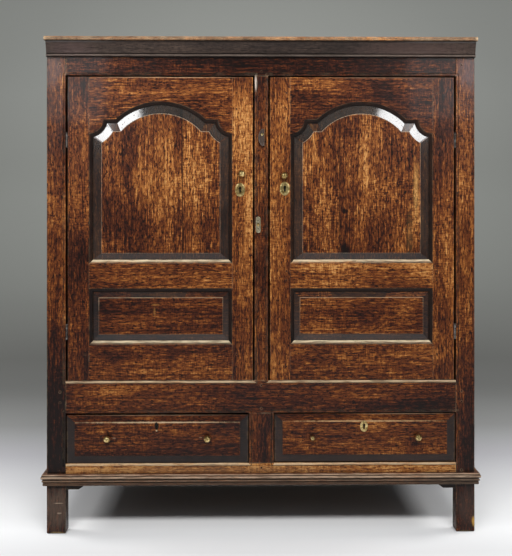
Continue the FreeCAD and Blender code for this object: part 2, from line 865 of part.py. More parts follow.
def ringed(rings):
    """Solid whose skin runs in flat faces from ring to ring and is closed at both ends."""
    faces = [Part.Face(Part.makePolygon(ends + ends[:1])) for ends in (rings[0], rings[-1])]
    for low, high in zip(rings, rings[1:]):
        for index, corner in enumerate(low):
            after = (index + 1) % len(low)
            faces += flat_faces(corner, low[after], high[after], high[index])
    shell = Part.makeShell(faces)
    shell.sewShape()
    solid = Part.makeSolid(shell)
    if solid.Volume < 0:
        solid.reverse()
    return solid


def opening_tools(outline):
    """Waste of one door opening: its clear hole, its ovolo moulding and the groove for the panel."""
    sight = door_moulding_width
    hole = carried(outline(front_y - overrun, sight, sight), door_thickness + 2 * overrun)
    stations = [outline(front_y - overrun, 0, 0)]
    reach = door_moulding_width - door_moulding_quirk / 2
    fall = door_moulding_depth - door_moulding_quirk
    for share in moulding_step_shares:
        inset = door_moulding_width - reach * (1 - share)
        depth = door_moulding_quirk + fall * (1 - math.sqrt(1 - share ** 2))
        stations.append(outline(front_y + depth, inset, inset))
    ovolo = ringed(stations)
    groove_inset = sight - groove_depth
    groove = carried(outline(front_y + groove_setback, groove_inset, groove_inset), groove_width)
    return [hole, ovolo, groove]


def rail_outline(low_z, high_z, low_mitre, high_mitre):
    """Door rail seen from the front, mitred at the moulded edges beside its shoulders."""
    return [
        (shoulder_inner_x, low_z + low_mitre),
        (sight_inner_x, low_z),
        (sight_outer_x, low_z),
        (shoulder_outer_x, low_z + low_mitre),
        (shoulder_outer_x, high_z - high_mitre),
        (sight_outer_x, high_z),
        (sight_inner_x, high_z),
        (shoulder_inner_x, high_z - high_mitre),
    ]


def door_rail_rows():
    """Outline and tenon heights of the bottom, middle and top rail of the right door."""
    width = door_moulding_width
    lobe = lobe_radius + width
    top_low_z = arch_step_z - math.sqrt(lobe ** 2 - width ** 2)
    top_mitre = arch_step_z - lobe_radius - top_low_z
    shoulder = door_tenon_shoulder
    return [
        (rail_outline(door_base_z, lower_sight_low_z, 0, width),
         (door_base_z + shoulder, lower_sight_low_z - shoulder)),
        (rail_outline(lower_sight_high_z, upper_sight_low_z, width, width),
         (lower_sight_high_z + shoulder, upper_sight_low_z - shoulder)),
        (rail_outline(top_low_z, door_top_z, top_mitre, 0), (arch_step_z, door_top_z - shoulder)),
    ]


def door_tenons(span, end_gap):
    """Tenons at the two ends of one door rail."""
    low_y = front_y + door_tenon_setback
    high_y = low_y + door_tenon_thickness
    reach = door_tenon_length + end_gap
    inner = box(shoulder_inner_x - reach, shoulder_inner_x, low_y, high_y, span[0], span[1])
    outer = box(shoulder_outer_x, shoulder_outer_x + reach, low_y, high_y, span[0], span[1])
    return [inner, outer]


def door_pegs():
    """Two pegs through each joint of the right door."""
    pegs = []
    for _, span in door_rail_rows():
        for x in (shoulder_inner_x - door_peg_inset, shoulder_outer_x + door_peg_inset):
            for z in peg_heights(*span):
                pegs.append(peg_from_front(x, z, front_y, front_y + door_thickness, door_peg_radius))
    return pegs


def door_tools():
    """Waste of both openings of the right door and its peg holes."""
    return opening_tools(arch_outline) + opening_tools(lower_outline) + door_pegs()


def door_rail(index):
    """One rail of the right door."""
    outline, span = door_rail_rows()[index]
    rail = cut_all(front_prism(outline, front_y, front_y + door_thickness), door_tools())
    return cut_all(rail.fuse(door_tenons(span, 0)), door_pegs()).removeSplitter()


def door_stile(low_x, high_x):
    """One stile of the right door, moulded between the rails."""
    stile = box(low_x, high_x, front_y, front_y + door_thickness, door_base_z, door_top_z)
    tools = door_tools()
    for outline, span in door_rail_rows():
        tools.append(front_prism(outline, front_y - overrun, front_y + door_thickness + overrun))
        tools += door_tenons(span, mortise_end_gap)
    return cut_all(stile, tools).removeSplitter()


def door_panel(outline, bevel_side, bevel_bottom):
    """Fielded panel behind one opening: tongue in the grooves, bevel, and field with a small step."""
    sight = door_moulding_width
    edge = sight - tongue_length
    tongue_y = front_y + groove_setback + (groove_width - tongue_thickness) / 2
    tongue = carried(outline(tongue_y, edge, edge), tongue_thickness)
    foot = outline(tongue_y, sight, sight)
    head = outline(front_y + field_setback + field_step, sight + bevel_side, sight + bevel_bottom)
    bevel = ringed([foot, head])
    field = carried(head, -field_step)
    return tongue.fuse([bevel, field]).removeSplitter()


def keyhole_tool(x, z, low_y, high_y):
    """Keyhole as a solid: a round top with a slot below."""
    top = front_prism(disc(x, z, keyhole_radius, bore_flat_count), low_y, high_y)
    half = keyhole_slot_width / 2
    return top.fuse(box(x - half, x + half, low_y, high_y, z - keyhole_slot_length, z))


def turned(x, z, stations, flat_count):
    """Turned form on an axis square to the front, from its (radius, forward) stations, in flats."""
    rings = []
    for radius, forward in stations:
        outline = disc(x, z, radius, flat_count)
        rings.append([FreeCAD.Vector(px, front_y - forward, pz) for px, pz in outline])
    return ringed(rings)


def escutcheon(x, z, width, height):
    """Oval plate with a bevelled rim and a keyhole, laid on the front face."""
    rings = []
    for forward, share in ((0, 1), (escutcheon_thickness, escutcheon_front_share)):
        outline = ring(x, z, width * share, height * share, oval_flat_count)
        rings.append([FreeCAD.Vector(px, front_y - forward, pz) for px, pz in outline])
    plate = ringed(rings)
    return plate.cut(keyhole_tool(x, keyhole_top(z), front_y - 2 * overrun, front_y + overrun))


def knob(x, z, radius, board_thickness):
    """Turned knob with its collar, neck and domed head, and the shank and nut behind the board."""
    widest = knob_projection * knob_widest_share
    head = knob_projection * knob_neck_share
    neck = knob_neck_radius * radius / knob_radius
    collar = knob_collar_radius * radius / knob_radius
    stations = [(collar, 0), (collar, knob_collar_thickness), (neck, 2 * knob_collar_thickness)]
    for share in knob_under_shares:
        turn = math.pi / 2 * share
        rise = widest - (widest - head) * math.cos(turn)
        stations.append((neck + (radius - neck) * math.sin(turn), rise))
    for share in knob_dome_shares:
        turn = math.pi / 2 * share
        rise = widest + (knob_projection - widest) * math.sin(turn)
        stations.append((radius * math.cos(turn), rise))
    head_shape = turned(x, z, stations, knob_flat_count)
    back_y = front_y + board_thickness
    shank = front_prism(disc(x, z, knob_shank_radius, bore_flat_count), front_y, back_y)
    nut = front_prism(disc(x, z, knob_nut_radius, nut_flat_count), back_y, back_y + knob_nut_thickness)
    return head_shape.fuse([shank, nut])


def shank_hole(x, z, board_thickness):
    """Hole for a knob's shank."""
    outline = disc(x, z, knob_shank_radius, bore_flat_count)
    return front_prism(outline, front_y - overrun, front_y + board_thickness + overrun)


def door_fitting_places(side):
    """Knob and keyhole of one door, as (x, height). On the left door side is -1 and x is mirrored."""
    if side < 0:
        insets = (left_knob_inset, left_knob_rise, left_keyhole_inset, left_keyhole_share)
    else:
        insets = (right_knob_inset, right_knob_rise, right_keyhole_inset, right_keyhole_share)
    knob_in, knob_rise, key_in, key_share = insets
    key_z = door_base_z + (door_top_z - door_base_z) * key_share
    return (door_lock_x + knob_in, key_z + knob_rise), (door_lock_x + key_in, key_z)


def keyhole_top(z):
    """Height of the round part of a keyhole centred on this height."""
    return z + keyhole_slot_length / 2 - keyhole_radius / 2


def lock_case_span():
    """Front and back of a door lock case."""
    low_y = front_y + door_thickness
    return low_y, low_y + lock_case_thickness


def door_lock_case(side):
    """Iron case on the back of the lock stile, hollow for its bolt; built on the right."""
    key_x, key_z = door_fitting_places(side)[1]
    low_y, high_y = lock_case_span()
    half = lock_case_height / 2
    case = box(door_lock_x, door_lock_x + lock_case_length, low_y, high_y, key_z - half, key_z + half)
    tall = bolt_height / 2 + running_gap
    cavity = box(door_lock_x - overrun, door_lock_x + lock_cavity_length, low_y + lock_wall,
                 high_y - lock_wall, key_z - tall, key_z + tall)
    key = keyhole_tool(key_x, keyhole_top(key_z), low_y - overrun, low_y + lock_wall + overrun)
    return case.cut([cavity, key])


def door_lock_bolt(side):
    """Sliding bolt, drawn back inside its case; built on the right."""
    key_z = door_fitting_places(side)[1][1]
    low_y, high_y = lock_case_span()
    thin = lock_wall + running_gap
    start = door_lock_x + bolt_end_gap
    return box(start, start + bolt_length, low_y + thin, high_y - thin, key_z - bolt_height / 2,
               key_z + bolt_height / 2)


def lock_bolt_mortise(side):
    """Waste in the upright where a door's bolt goes in."""
    key_z = door_fitting_places(side)[1][1]
    low_y, high_y = lock_case_span()
    thin = lock_wall + running_gap - bolt_mortise_play
    half = bolt_height / 2 + bolt_mortise_play
    tool = box(half_door_muntin - bolt_mortise_depth, half_door_muntin + overrun, low_y + thin,
               high_y - thin, key_z - half, key_z + half)
    return tool if side > 0 else mirrored(tool)


def knuckle_span(centre_z, index):
    """Height range of one knuckle of a hinge."""
    pitch = hinge_length / knuckle_count
    low = centre_z - hinge_length / 2 + index * pitch
    return low + knuckle_gap / 2, low + pitch - knuckle_gap / 2


def hinge_leaf(centre_z, first, edge_x, inward):
    """Leaf with its knuckles from this index on, every second one; inward points from edge to pin."""
    leaf_x = sorted((edge_x, edge_x + inward * hinge_leaf_thickness))
    low_y = hinge_y + hinge_leaf_setback
    shapes = [box(leaf_x[0], leaf_x[1], low_y, low_y + hinge_leaf_width,
                  centre_z - hinge_length / 2, centre_z + hinge_length / 2)]
    for index in range(first, knuckle_count, 2):
        low_z, high_z = knuckle_span(centre_z, index)
        barrel = disc(hinge_x, hinge_y, barrel_radius, barrel_flat_count)
        shapes.append(plan_prism(barrel, low_z, high_z))
        shapes.append(box(leaf_x[0], leaf_x[1], hinge_y, low_y, low_z, high_z))
    return shapes[0].fuse(shapes[1:])


def hinge_centres():
    """Heights of the two hinges of a door."""
    return [door_base_z + lower_hinge_height, door_top_z - upper_hinge_drop]


def frame_hinge_leaves():
    """Leaves and pins on the right stile."""
    reach = hinge_length / 2 - knuckle_gap
    pin_outline = disc(hinge_x, hinge_y, pin_radius, bore_flat_count)
    leaves = []
    for centre_z in hinge_centres():
        pin = plan_prism(pin_outline, centre_z - reach, centre_z + reach)
        leaves.append(hinge_leaf(centre_z, 0, inner_x, -1).fuse(pin).removeSplitter())
    return leaves


def door_hinge_leaves():
    """Leaves on the hinge edge of the right door, bored for the pins."""
    leaves = []
    for centre_z in hinge_centres():
        outline = disc(hinge_x, hinge_y, bore_radius, bore_flat_count)
        bore = plan_prism(outline, centre_z - hinge_length, centre_z + hinge_length)
        leaves.append(hinge_leaf(centre_z, 1, door_outer_x, 1).cut(bore))
    return leaves


def lock_stile_tools(side):
    """Keyhole and knob hole through the lock stile; built on the right."""
    (knob_x, knob_z), (key_x, key_z) = door_fitting_places(side)
    high_y = front_y + door_thickness + overrun
    key = keyhole_tool(key_x, keyhole_top(key_z), front_y - overrun, high_y)
    return [key, shank_hole(knob_x, knob_z, door_thickness)]


def door_pieces(side):
    """Every piece of one door by name; side is -1 for the left door, which mirrors the right one."""
    (knob_x, knob_z), (key_x, key_z) = door_fitting_places(side)
    lock_stile = cut_all(door_stile(door_lock_x, sight_inner_x), lock_stile_tools(side))
    pieces = {
        "hinge_stile": [door_stile(sight_outer_x, door_outer_x)],
        "lock_stile": [lock_stile],
        "bottom_rail": [door_rail(0)],
        "middle_rail": [door_rail(1)],
        "top_rail": [door_rail(2)],
        "arched_panel": [door_panel(arch_outline, panel_bevel_side, panel_bevel_bottom)],
        "lower_panel": [door_panel(lower_outline, lower_bevel_side, panel_bevel_bottom)],
        "pegs": door_pegs(),
        "knob": [knob(knob_x, knob_z, knob_radius, door_thickness)],
        "escutcheon": [escutcheon(key_x, key_z, escutcheon_width, escutcheon_height)],
        "lock_case": [door_lock_case(side)],
        "lock_bolt": [door_lock_bolt(side)],
        "hinge_leaves": door_hinge_leaves(),
    }
    if side < 0:
        pieces = {name: [mirrored(shape) for shape in shapes] for name, shapes in pieces.items()}
    return pieces


def drawer_span():
    """Inner and outer end of the right drawer."""
    return half_drawer_muntin + drawer_side_gap, inner_x - drawer_side_gap


def drawer_lift(side):
    """How far a drawer's front stands above the lower edge of its opening."""
    return left_front_lift if side < 0 else right_front_lift


def drawer_front_rows(side):
    """Low, middle and high edge of a drawer front."""
    low_z = drawer_low_z + drawer_lift(side)
    return low_z, low_z + drawer_front_height / 2, low_z + drawer_front_height


def front_rectangle(y, low_x, high_x, low_z, high_z):
    """Corners of a rectangle facing the front."""
    places = [(low_x, low_z), (high_x, low_z), (high_x, high_z), (low_x, high_z)]
    return [FreeCAD.Vector(x, y, z) for x, z in places]


def dovetails():
    """Tails of a drawer side in the drawer front, as (y, z) outlines."""
    low_z = drawer_low_z + running_gap
    pitch = drawer_side_height / dovetail_count
    root_y = front_y + drawer_front_thickness
    tip_y = root_y - dovetail_depth
    tails = []
    for index in range(dovetail_count):
        middle_z = low_z + pitch * (index + 0.5)
        root = pitch * dovetail_root_share / 2
        tip = pitch * dovetail_tip_share / 2
        tails.append([(root_y, middle_z - root), (tip_y, middle_z - tip),
                      (tip_y, middle_z + tip), (root_y, middle_z + root)])
    return tails


def drawer_side(low_x):
    """One side of the right drawer with its tails, grooved for the bottom."""
    high_x = low_x + drawer_side_thickness
    low_z = drawer_low_z + running_gap
    start = front_y + drawer_front_thickness
    board = box(low_x, high_x, start, start + drawer_length, low_z, low_z + drawer_side_height)
    board = board.fuse([side_prism(tail, low_x, high_x) for tail in dovetails()])
    return board.cut(drawer_bottom())


def drawer_bottom():
    """Bottom board of the right drawer, held in grooves and passing under the back."""
    low_x, high_x = drawer_span()
    inset = drawer_side_thickness - drawer_bottom_groove
    start = front_y + drawer_front_thickness
    low_z = drawer_low_z + running_gap + drawer_bottom_rise
    return box(low_x + inset, high_x - inset, start - drawer_bottom_groove, start + drawer_length,
               low_z, low_z + drawer_bottom_thickness)


def drawer_back():
    """Back of the right drawer between its sides, above the bottom."""
    low_x, high_x = drawer_span()
    start = front_y + drawer_front_thickness + drawer_length
    low_z = drawer_low_z + running_gap + drawer_bottom_rise + drawer_bottom_thickness
    high_z = drawer_low_z + running_gap + drawer_side_height
    return box(low_x + drawer_side_thickness, high_x - drawer_side_thickness, start - drawer_back_thickness,
               start, low_z, high_z)


def drawer_sides():
    """Both sides of the right drawer."""
    low_x, high_x = drawer_span()
    return [drawer_side(low_x), drawer_side(high_x - drawer_side_thickness)]


def drawer_centre_x():
    """Middle of the right drawer."""
    return sum(drawer_span()) / 2


def drawer_lock_places(side):
    """Low and high corner of a drawer's lock case, let in flush with the top of the front."""
    centre_x = drawer_centre_x() + drawer_keyhole_offset(side)
    high_z = drawer_front_rows(side)[2]
    low_y = front_y + drawer_front_thickness - drawer_lock_let_in
    low = (centre_x - drawer_lock_width / 2, low_y, high_z - drawer_lock_height)
    high = (centre_x + drawer_lock_width / 2, low_y + drawer_lock_thickness, high_z)
    return low, high


def drawer_keyhole_offset(side):
    """How far a drawer's keyhole stands off the middle of the drawer, away from the muntin."""
    return left_drawer_keyhole_offset if side < 0 else -right_drawer_keyhole_offset


def drawer_lock(side):
    """Lock case of a drawer, hollow for its bolt and open above it; built on the right."""
    low, high = drawer_lock_places(side)
    case = box(low[0], high[0], low[1], high[1], low[2], high[2])
    centre_x = (low[0] + high[0]) / 2
    half = drawer_bolt_width / 2 + running_gap
    cavity = box(centre_x - half, centre_x + half, low[1] + lock_wall, high[1] - lock_wall,
                 low[2] + lock_wall, high[2] + overrun)
    key_z = drawer_front_rows(side)[1] + drawer_keyhole_rise
    key = keyhole_tool(centre_x, keyhole_top(key_z), low[1] - overrun, low[1] + lock_wall + overrun)
    return case.cut([cavity, key])


def drawer_bolt(side):
    """Bolt of a drawer lock, drawn down inside its case; built on the right."""
    low, high = drawer_lock_places(side)
    centre_x = (low[0] + high[0]) / 2
    thin = lock_wall + running_gap
    top = high[2] - bolt_end_gap
    return box(centre_x - drawer_bolt_width / 2, centre_x + drawer_bolt_width / 2, low[1] + thin,
               high[1] - thin, top - drawer_bolt_length, top)


def drawer_bolt_mortise(side):
    """Waste in the middle rail where a drawer's bolt goes in."""
    low, high = drawer_lock_places(side)
    centre_x = (low[0] + high[0]) / 2
    half = drawer_bolt_width / 2 + bolt_mortise_play
    thin = lock_wall + running_gap - bolt_mortise_play
    tool = box(centre_x - half, centre_x + half, low[1] + thin, high[1] - thin, drawer_high_z - overrun,
               drawer_high_z + drawer_bolt_mortise_depth)
    return tool if side > 0 else mirrored(tool)


def drawer_front(side):
    """Fielded drawer front with sockets for the tails, a groove, a keyhole and a recess for the lock."""
    low_x, high_x = drawer_span()
    low_z, middle_z, high_z = drawer_front_rows(side)
    rim_y = front_y + drawer_bevel_depth
    board = box(low_x, high_x, rim_y, front_y + drawer_front_thickness, low_z, high_z)
    rim = front_rectangle(rim_y, low_x, high_x, low_z, high_z)
    field = front_rectangle(front_y + field_step, low_x + drawer_bevel_side, high_x - drawer_bevel_side,
                            low_z + drawer_bevel_height, high_z - drawer_bevel_height)
    bevel = ringed([rim, field])
    solid = board.fuse([bevel, carried(field, -field_step)]).removeSplitter()
    low, high = drawer_lock_places(side)
    recess = box(low[0], high[0], low[1], high[1] + overrun, low[2], high[2] + overrun)
    key_x = (low[0] + high[0]) / 2
    key = keyhole_tool(key_x, keyhole_top(middle_z + drawer_keyhole_rise), front_y - overrun,
                       front_y + drawer_front_thickness)
    tools = drawer_sides() + [drawer_bottom(), recess, key]
    for x, z, _ in drawer_knob_places(side):
        tools.append(shank_hole(x, z, drawer_front_thickness))
    return solid.cut(tools)


def drawer_knob_places(side):
    """Place and radius of the two knobs of a drawer; the right drawer's inner knob is a smaller one."""
    centre_x = drawer_centre_x()
    z = drawer_front_rows(side)[1] + drawer_knob_rise
    spacing = left_knob_spacing if side < 0 else right_knob_spacing
    inner_radius = knob_radius if side < 0 else small_knob_radius
    return [(centre_x - spacing / 2, z, inner_radius), (centre_x + spacing / 2, z, knob_radius)]


def drawer_brasses(side):
    """Knobs of a drawer, and the oval escutcheon that only the right drawer keeps."""
    pieces = [knob(x, z, radius, drawer_front_thickness) for x, z, radius in drawer_knob_places(side)]
    if side > 0:
        low, high = drawer_lock_places(side)
        key_z = drawer_front_rows(side)[1] + drawer_keyhole_rise
        pieces.append(escutcheon((low[0] + high[0]) / 2, key_z, drawer_escutcheon_width,
                                 drawer_escutcheon_height))
    return pieces


def drawer_pieces(side):
    """Every piece of one drawer by name; side is -1 for the left drawer, which mirrors the right one."""
    pieces = {
        "front": [drawer_front(side)],
        "box": drawer_sides() + [drawer_back(), drawer_bottom()],
        "knobs": drawer_brasses(side),
        "lock": [drawer_lock(side)],
        "bolt": [drawer_bolt(side)],
    }
    if side < 0:
        pieces = {name: [mirrored(shape) for shape in shapes] for name, shapes in pieces.items()}
    return pieces


def upper_button_pivot():
    """Place of the upper turn button's screw."""
    return upper_button_offset, door_high_z - upper_button_drop


def lower_button_pivot():
    """Place of the lower turn button's screw."""
    return lower_button_offset, door_low_z + (door_high_z - door_low_z) * lower_button_share


def screw_hole(place, length):
    """Hole for a turn button's screw, from the front."""
    outline = disc(place[0], place[1], screw_hole_radius, bore_flat_count)
    return front_prism(outline, front_y - length, front_y + length)


def button_screw_holes():
    """Screw holes in the upright between the doors."""
    pivots = (upper_button_pivot(), lower_button_pivot())
    return [screw_hole(place, button_screw_length) for place in pivots]


def upper_turn_button():
    """Boat-shaped button hanging upright: one flat edge, one bowed edge and blunt tips."""
    x, z = upper_button_pivot()
    high_y = front_y - running_gap
    low_z = z - upper_button_length * (1 - upper_button_pivot_share)
    high_z = z + upper_button_length * upper_button_pivot_share
    flat_x = x + upper_button_width * upper_button_flat_share
    tip_x = flat_x - upper_button_width * upper_button_tip_share
    bow = FreeCAD.Vector(flat_x - upper_button_width, high_y, (low_z + high_z) / 2)
    corners = [FreeCAD.Vector(px, high_y, pz) for px, pz in
               ((tip_x, high_z), (flat_x, high_z), (flat_x, low_z), (tip_x, low_z))]
    edges = [Part.makeLine(start, end) for start, end in zip(corners, corners[1:])]
    edges.append(Part.Arc(corners[3], bow, corners[0]).toShape())
    blank = Part.Face(Part.Wire(edges)).extrude(FreeCAD.Vector(0, -upper_button_thickness, 0))
    return blank.cut(screw_hole((x, z), button_screw_length))


def lower_turn_button():
    """Brass plate with round ends and two empty screw holes, upright."""
    x, z = lower_button_pivot()
    half = lower_button_width / 2
    high_y = front_y - running_gap
    low_y = high_y - lower_button_thickness
    reach = lower_button_length / 2 - half
    outline = []
    for away in (1, -1):
        for step in range(button_end_count + 1):
            turn = math.pi * step / button_end_count
            rise = reach + half * math.sin(turn)
            outline.append((x + away * half * math.cos(turn), z + away * rise))
    plate = front_prism(outline, low_y, high_y)
    holes = []
    for away in (-1, 1):
        hole_z = z + away * lower_button_hole_spacing / 2
        hole = disc(x, hole_z, lower_button_hole_radius, bore_flat_count)
        holes.append(front_prism(hole, low_y - overrun, high_y + overrun))
    return plate.cut(holes + [screw_hole((x, z), button_screw_length)])


def button_screw(place, button_thickness, head_radius, head_height):
    """Screw that a turn button swings on, with a domed head."""
    x, z = place
    seat = button_thickness + 2 * running_gap
    shank = front_prism(disc(x, z, button_screw_radius, bore_flat_count), front_y - seat,
                        front_y + button_screw_length)
    stations = []
    for share in screw_dome_shares:
        turn = math.pi / 2 * share
        stations.append((head_radius * math.cos(turn), seat + head_height * math.sin(turn)))
    return turned(x, z, stations, head_flat_count).fuse(shank)


def button_pivots():
    """Screws of the two turn buttons."""
    upper = button_screw(upper_button_pivot(), upper_button_thickness, button_screw_head_radius,
                         button_screw_head_height)
    lower = button_screw(lower_button_pivot(), lower_button_thickness, lower_button_boss_radius,
                         lower_button_boss_height)
    return [upper, lower]


def all_pieces():
    """Every sub-part by name, as a list of its solids."""
    left_stile = mirrored(front_stile())
    leaves = frame_hinge_leaves()
    pieces = {
        "front_left_stile": [left_stile],
        "front_right_stile": [front_stile()],
        "back_stiles": both_sides(back_stile()),
        "front_top_rail": [front_top_rail()],
        "front_middle_rail": [front_middle_rail()],
        "front_bottom_rail": [front_bottom_rail()],
        "door_muntin": [door_muntin()],
        "drawer_muntin": [drawer_muntin()],
        "side_rails": side_rails(),
        "side_panels": side_panels(),
        "back_rails": back_rails(),
        "back_boards": back_boards(),
        "top_boards": top_boards(),
        "cornice": cornice(),
        "base_moulding": base_moulding(),
        "cupboard_floor": cupboard_floor(),
        "cupboard_shelf": cupboard_shelf(),
        "board_bearers": board_bearers(),
        "drawer_runners": drawer_runners(),
        "frame_pegs": frame_pegs(),
        "frame_hinge_leaves": leaves + [mirrored(leaf) for leaf in leaves],
        "button_pivots": button_pivots(),
        "upper_turn_button": [upper_turn_button()],
        "lower_turn_button": [lower_turn_button()],
    }
    for side, side_name in ((-1, "left"), (1, "right")):
        for name, shapes in door_pieces(side).items():
            pieces[side_name + "_door_" + name] = shapes
        for name, shapes in drawer_pieces(side).items():
            pieces[side_name + "_drawer_" + name] = shapes
    return pieces


def single_solids(shapes):
    """The solids of a list of shapes, one by one."""
    return [solid for shape in shapes for solid in shape.Solids]


os.makedirs("parts", exist_ok=True)
for node, node_shapes in all_pieces().items():
    node_solids = single_solids(node_shapes)
    whole = node_solids[0] if len(node_solids) == 1 else Part.makeCompound(node_solids)
    whole.exportStep("parts/" + node + ".step")
    box_of_node = whole.BoundBox
    print(node, len(node_solids), whole.isValid(), round(whole.Volume / 1000, 1),
          round(box_of_node.XMin, 1), round(box_of_node.XMax, 1), round(box_of_node.YMin, 1),
          round(box_of_node.YMax, 1), round(box_of_node.ZMin, 1), round(box_of_node.ZMax, 1))
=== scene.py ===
import math
import zlib

import bmesh
import bpy
import numpy as np
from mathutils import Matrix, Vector


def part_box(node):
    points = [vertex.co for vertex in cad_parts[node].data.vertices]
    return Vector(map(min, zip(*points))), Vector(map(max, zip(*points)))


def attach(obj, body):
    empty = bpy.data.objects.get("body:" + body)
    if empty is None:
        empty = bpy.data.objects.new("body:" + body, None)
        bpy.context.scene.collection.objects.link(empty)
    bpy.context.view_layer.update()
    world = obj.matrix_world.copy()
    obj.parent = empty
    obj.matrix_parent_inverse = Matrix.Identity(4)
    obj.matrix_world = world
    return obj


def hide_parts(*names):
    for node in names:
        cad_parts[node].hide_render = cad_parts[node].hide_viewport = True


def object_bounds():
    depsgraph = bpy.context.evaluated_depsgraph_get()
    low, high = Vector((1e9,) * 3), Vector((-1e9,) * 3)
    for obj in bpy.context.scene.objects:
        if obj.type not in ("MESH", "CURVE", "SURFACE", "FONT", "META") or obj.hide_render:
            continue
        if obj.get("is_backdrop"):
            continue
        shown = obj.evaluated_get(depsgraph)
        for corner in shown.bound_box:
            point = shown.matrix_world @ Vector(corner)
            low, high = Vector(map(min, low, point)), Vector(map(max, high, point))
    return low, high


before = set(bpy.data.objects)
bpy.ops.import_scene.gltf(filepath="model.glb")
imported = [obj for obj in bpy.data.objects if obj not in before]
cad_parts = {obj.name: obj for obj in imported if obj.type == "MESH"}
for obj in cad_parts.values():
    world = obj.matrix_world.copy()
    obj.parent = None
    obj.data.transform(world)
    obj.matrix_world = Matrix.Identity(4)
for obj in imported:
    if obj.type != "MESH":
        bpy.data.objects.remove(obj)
cad_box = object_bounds()

# Y of the front face of the frame.
FRONT = -0.251


def stand(name, data):
    """An object with its data, in the scene."""
    made = bpy.data.objects.new(name, data)
    bpy.context.scene.collection.objects.link(made)
    return made


# Camera: level, two thirds up the cupboard, almost square to the doors.

def place_camera():
    """The horizon of the photograph is well above its middle, which a fall of the lens gives. The
    camera turns a little to the right, so the left side stands nearer and taller."""
    distance, pixel, rows, turn = 2.70, 0.003295, 556, math.radians(0.76)
    horizon_row, floor_row, columns_left = 205.0, 533.0, 5.4
    data = bpy.data.cameras.new("studio_camera")
    data.sensor_width = 36.0
    data.lens = data.sensor_width * distance / (rows * pixel)
    data.shift_y = (horizon_row - rows / 2) / rows
    camera = stand("studio_camera", data)
    camera.location = (-columns_left * pixel - distance * math.tan(turn), FRONT - distance,
                       (floor_row - horizon_row) * pixel)
    camera.rotation_euler = (math.radians(90.0), 0.0, -turn)
    bpy.context.scene.camera = camera


def tone(red, green, blue):
    """A colour read off as 0 to 255, as the linear values that sockets hold."""
    shares = np.array([red, green, blue]) / 255.0
    low = shares / 12.92
    high = ((shares + 0.055) / 1.055) ** 2.4
    return (*np.where(shares <= 0.04045, low, high).tolist(), 1.0)


# Node work. A Web writes nodes into a material or a group and joins them up.

class Web:
    def __init__(self, tree):
        self.tree = tree

    def node(self, kind, inputs=None, **settings):
        made = self.tree.nodes.new(kind)
        for key, value in settings.items():
            setattr(made, key, value)
        for key, value in (inputs or {}).items():
            self.feed(made.inputs[key], value)
        return made

    def feed(self, socket, value):
        if isinstance(value, bpy.types.NodeSocket):
            self.tree.links.new(value, socket)
        elif value is not None:
            socket.default_value = value

    def calc(self, kind, first, second=None, third=None, clamp=False):
        made = self.node("ShaderNodeMath", operation=kind, use_clamp=clamp)
        for socket, value in zip(made.inputs, (first, second, third)):
            self.feed(socket, value)
        return made.outputs[0]

    def times(self, first, second, **settings):
        return self.calc("MULTIPLY", first, second, **settings)

    def plus(self, first, second):
        return self.calc("ADD", first, second)

    def less(self, first, second):
        return self.calc("SUBTRACT", first, second)

    def scaled(self, value, share, base, **settings):
        """The value times a share, on a base."""
        return self.calc("MULTIPLY_ADD", value, share, base, **settings)

    def sway(self, value, share, base=0.0, middle=0.5):
        """A base moved by a share of how far the value lies from its middle."""
        return self.scaled(self.less(value, middle), share, base)

    def vector(self, kind, first, second=None):
        made = self.node("ShaderNodeVectorMath", operation=kind)
        for socket, value in zip(made.inputs, (first, second)):
            self.feed(socket, value)
        return made.outputs["Value" if kind in ("LENGTH", "DOT_PRODUCT") else "Vector"]

    def noise(self, place, scale, detail=2.0, rough=0.5, out="Fac"):
        made = self.node("ShaderNodeTexNoise", {
            "Vector": place, "Scale": scale, "Detail": detail, "Roughness": rough})
        return made.outputs[out]

    def grain(self, place, stretch, detail=2.0, rough=0.6):
        """Noise on places stretched by their own amount along each axis."""
        return self.noise(self.vector("MULTIPLY", place, stretch), 1.0, detail, rough)

    def span(self, value, low, high, to_low=0.0, to_high=1.0, smooth=False):
        made = self.node("ShaderNodeMapRange", {
            "Value": value, "From Min": low, "From Max": high, "To Min": to_low,
            "To Max": to_high}, clamp=True)
        made.interpolation_type = "SMOOTHSTEP" if smooth else "LINEAR"
        return made.outputs[0]

    def mix(self, share, first, second, blend="MIX"):
        made = self.node("ShaderNodeMix", data_type="RGBA", blend_type=blend)
        self.feed(made.inputs[0], share)
        self.feed(made.inputs[6], first)
        self.feed(made.inputs[7], second)
        return made.outputs[2]

    def ramp(self, value, stops):
        made = self.node("ShaderNodeValToRGB", {"Fac": value})
        band = made.color_ramp
        while len(band.elements) < len(stops):
            band.elements.new(0.5)
        for element, (place, colour) in zip(band.elements, stops):
            element.position = place
            element.color = colour
        return made.outputs["Color"]

    def group(self, tree, inputs):
        made = self.node("ShaderNodeGroup")
        made.node_tree = tree
        for key, value in inputs.items():
            self.feed(made.inputs[key], value)
        return made.outputs

    def attribute(self, name, out):
        return self.node("ShaderNodeAttribute", attribute_name=name).outputs[out]

    def give(self, out, **results):
        for key, value in results.items():
            self.feed(out[key], value)

    def ripple(self, shader, height, distance, strength):
        """A height that turns the surface's normal."""
        made = self.node("ShaderNodeBump", {"Height": height, "Distance": distance,
                                            "Strength": strength})
        self.feed(shader["Normal"], made.outputs["Normal"])

    def seen(self):
        """One where the camera, a reflection or a view through glass looks."""
        rays = self.node("ShaderNodeLightPath").outputs
        return self.calc("MAXIMUM", rays["Is Camera Ray"], self.calc(
            "MAXIMUM", rays["Is Glossy Ray"], rays["Is Transmission Ray"]))


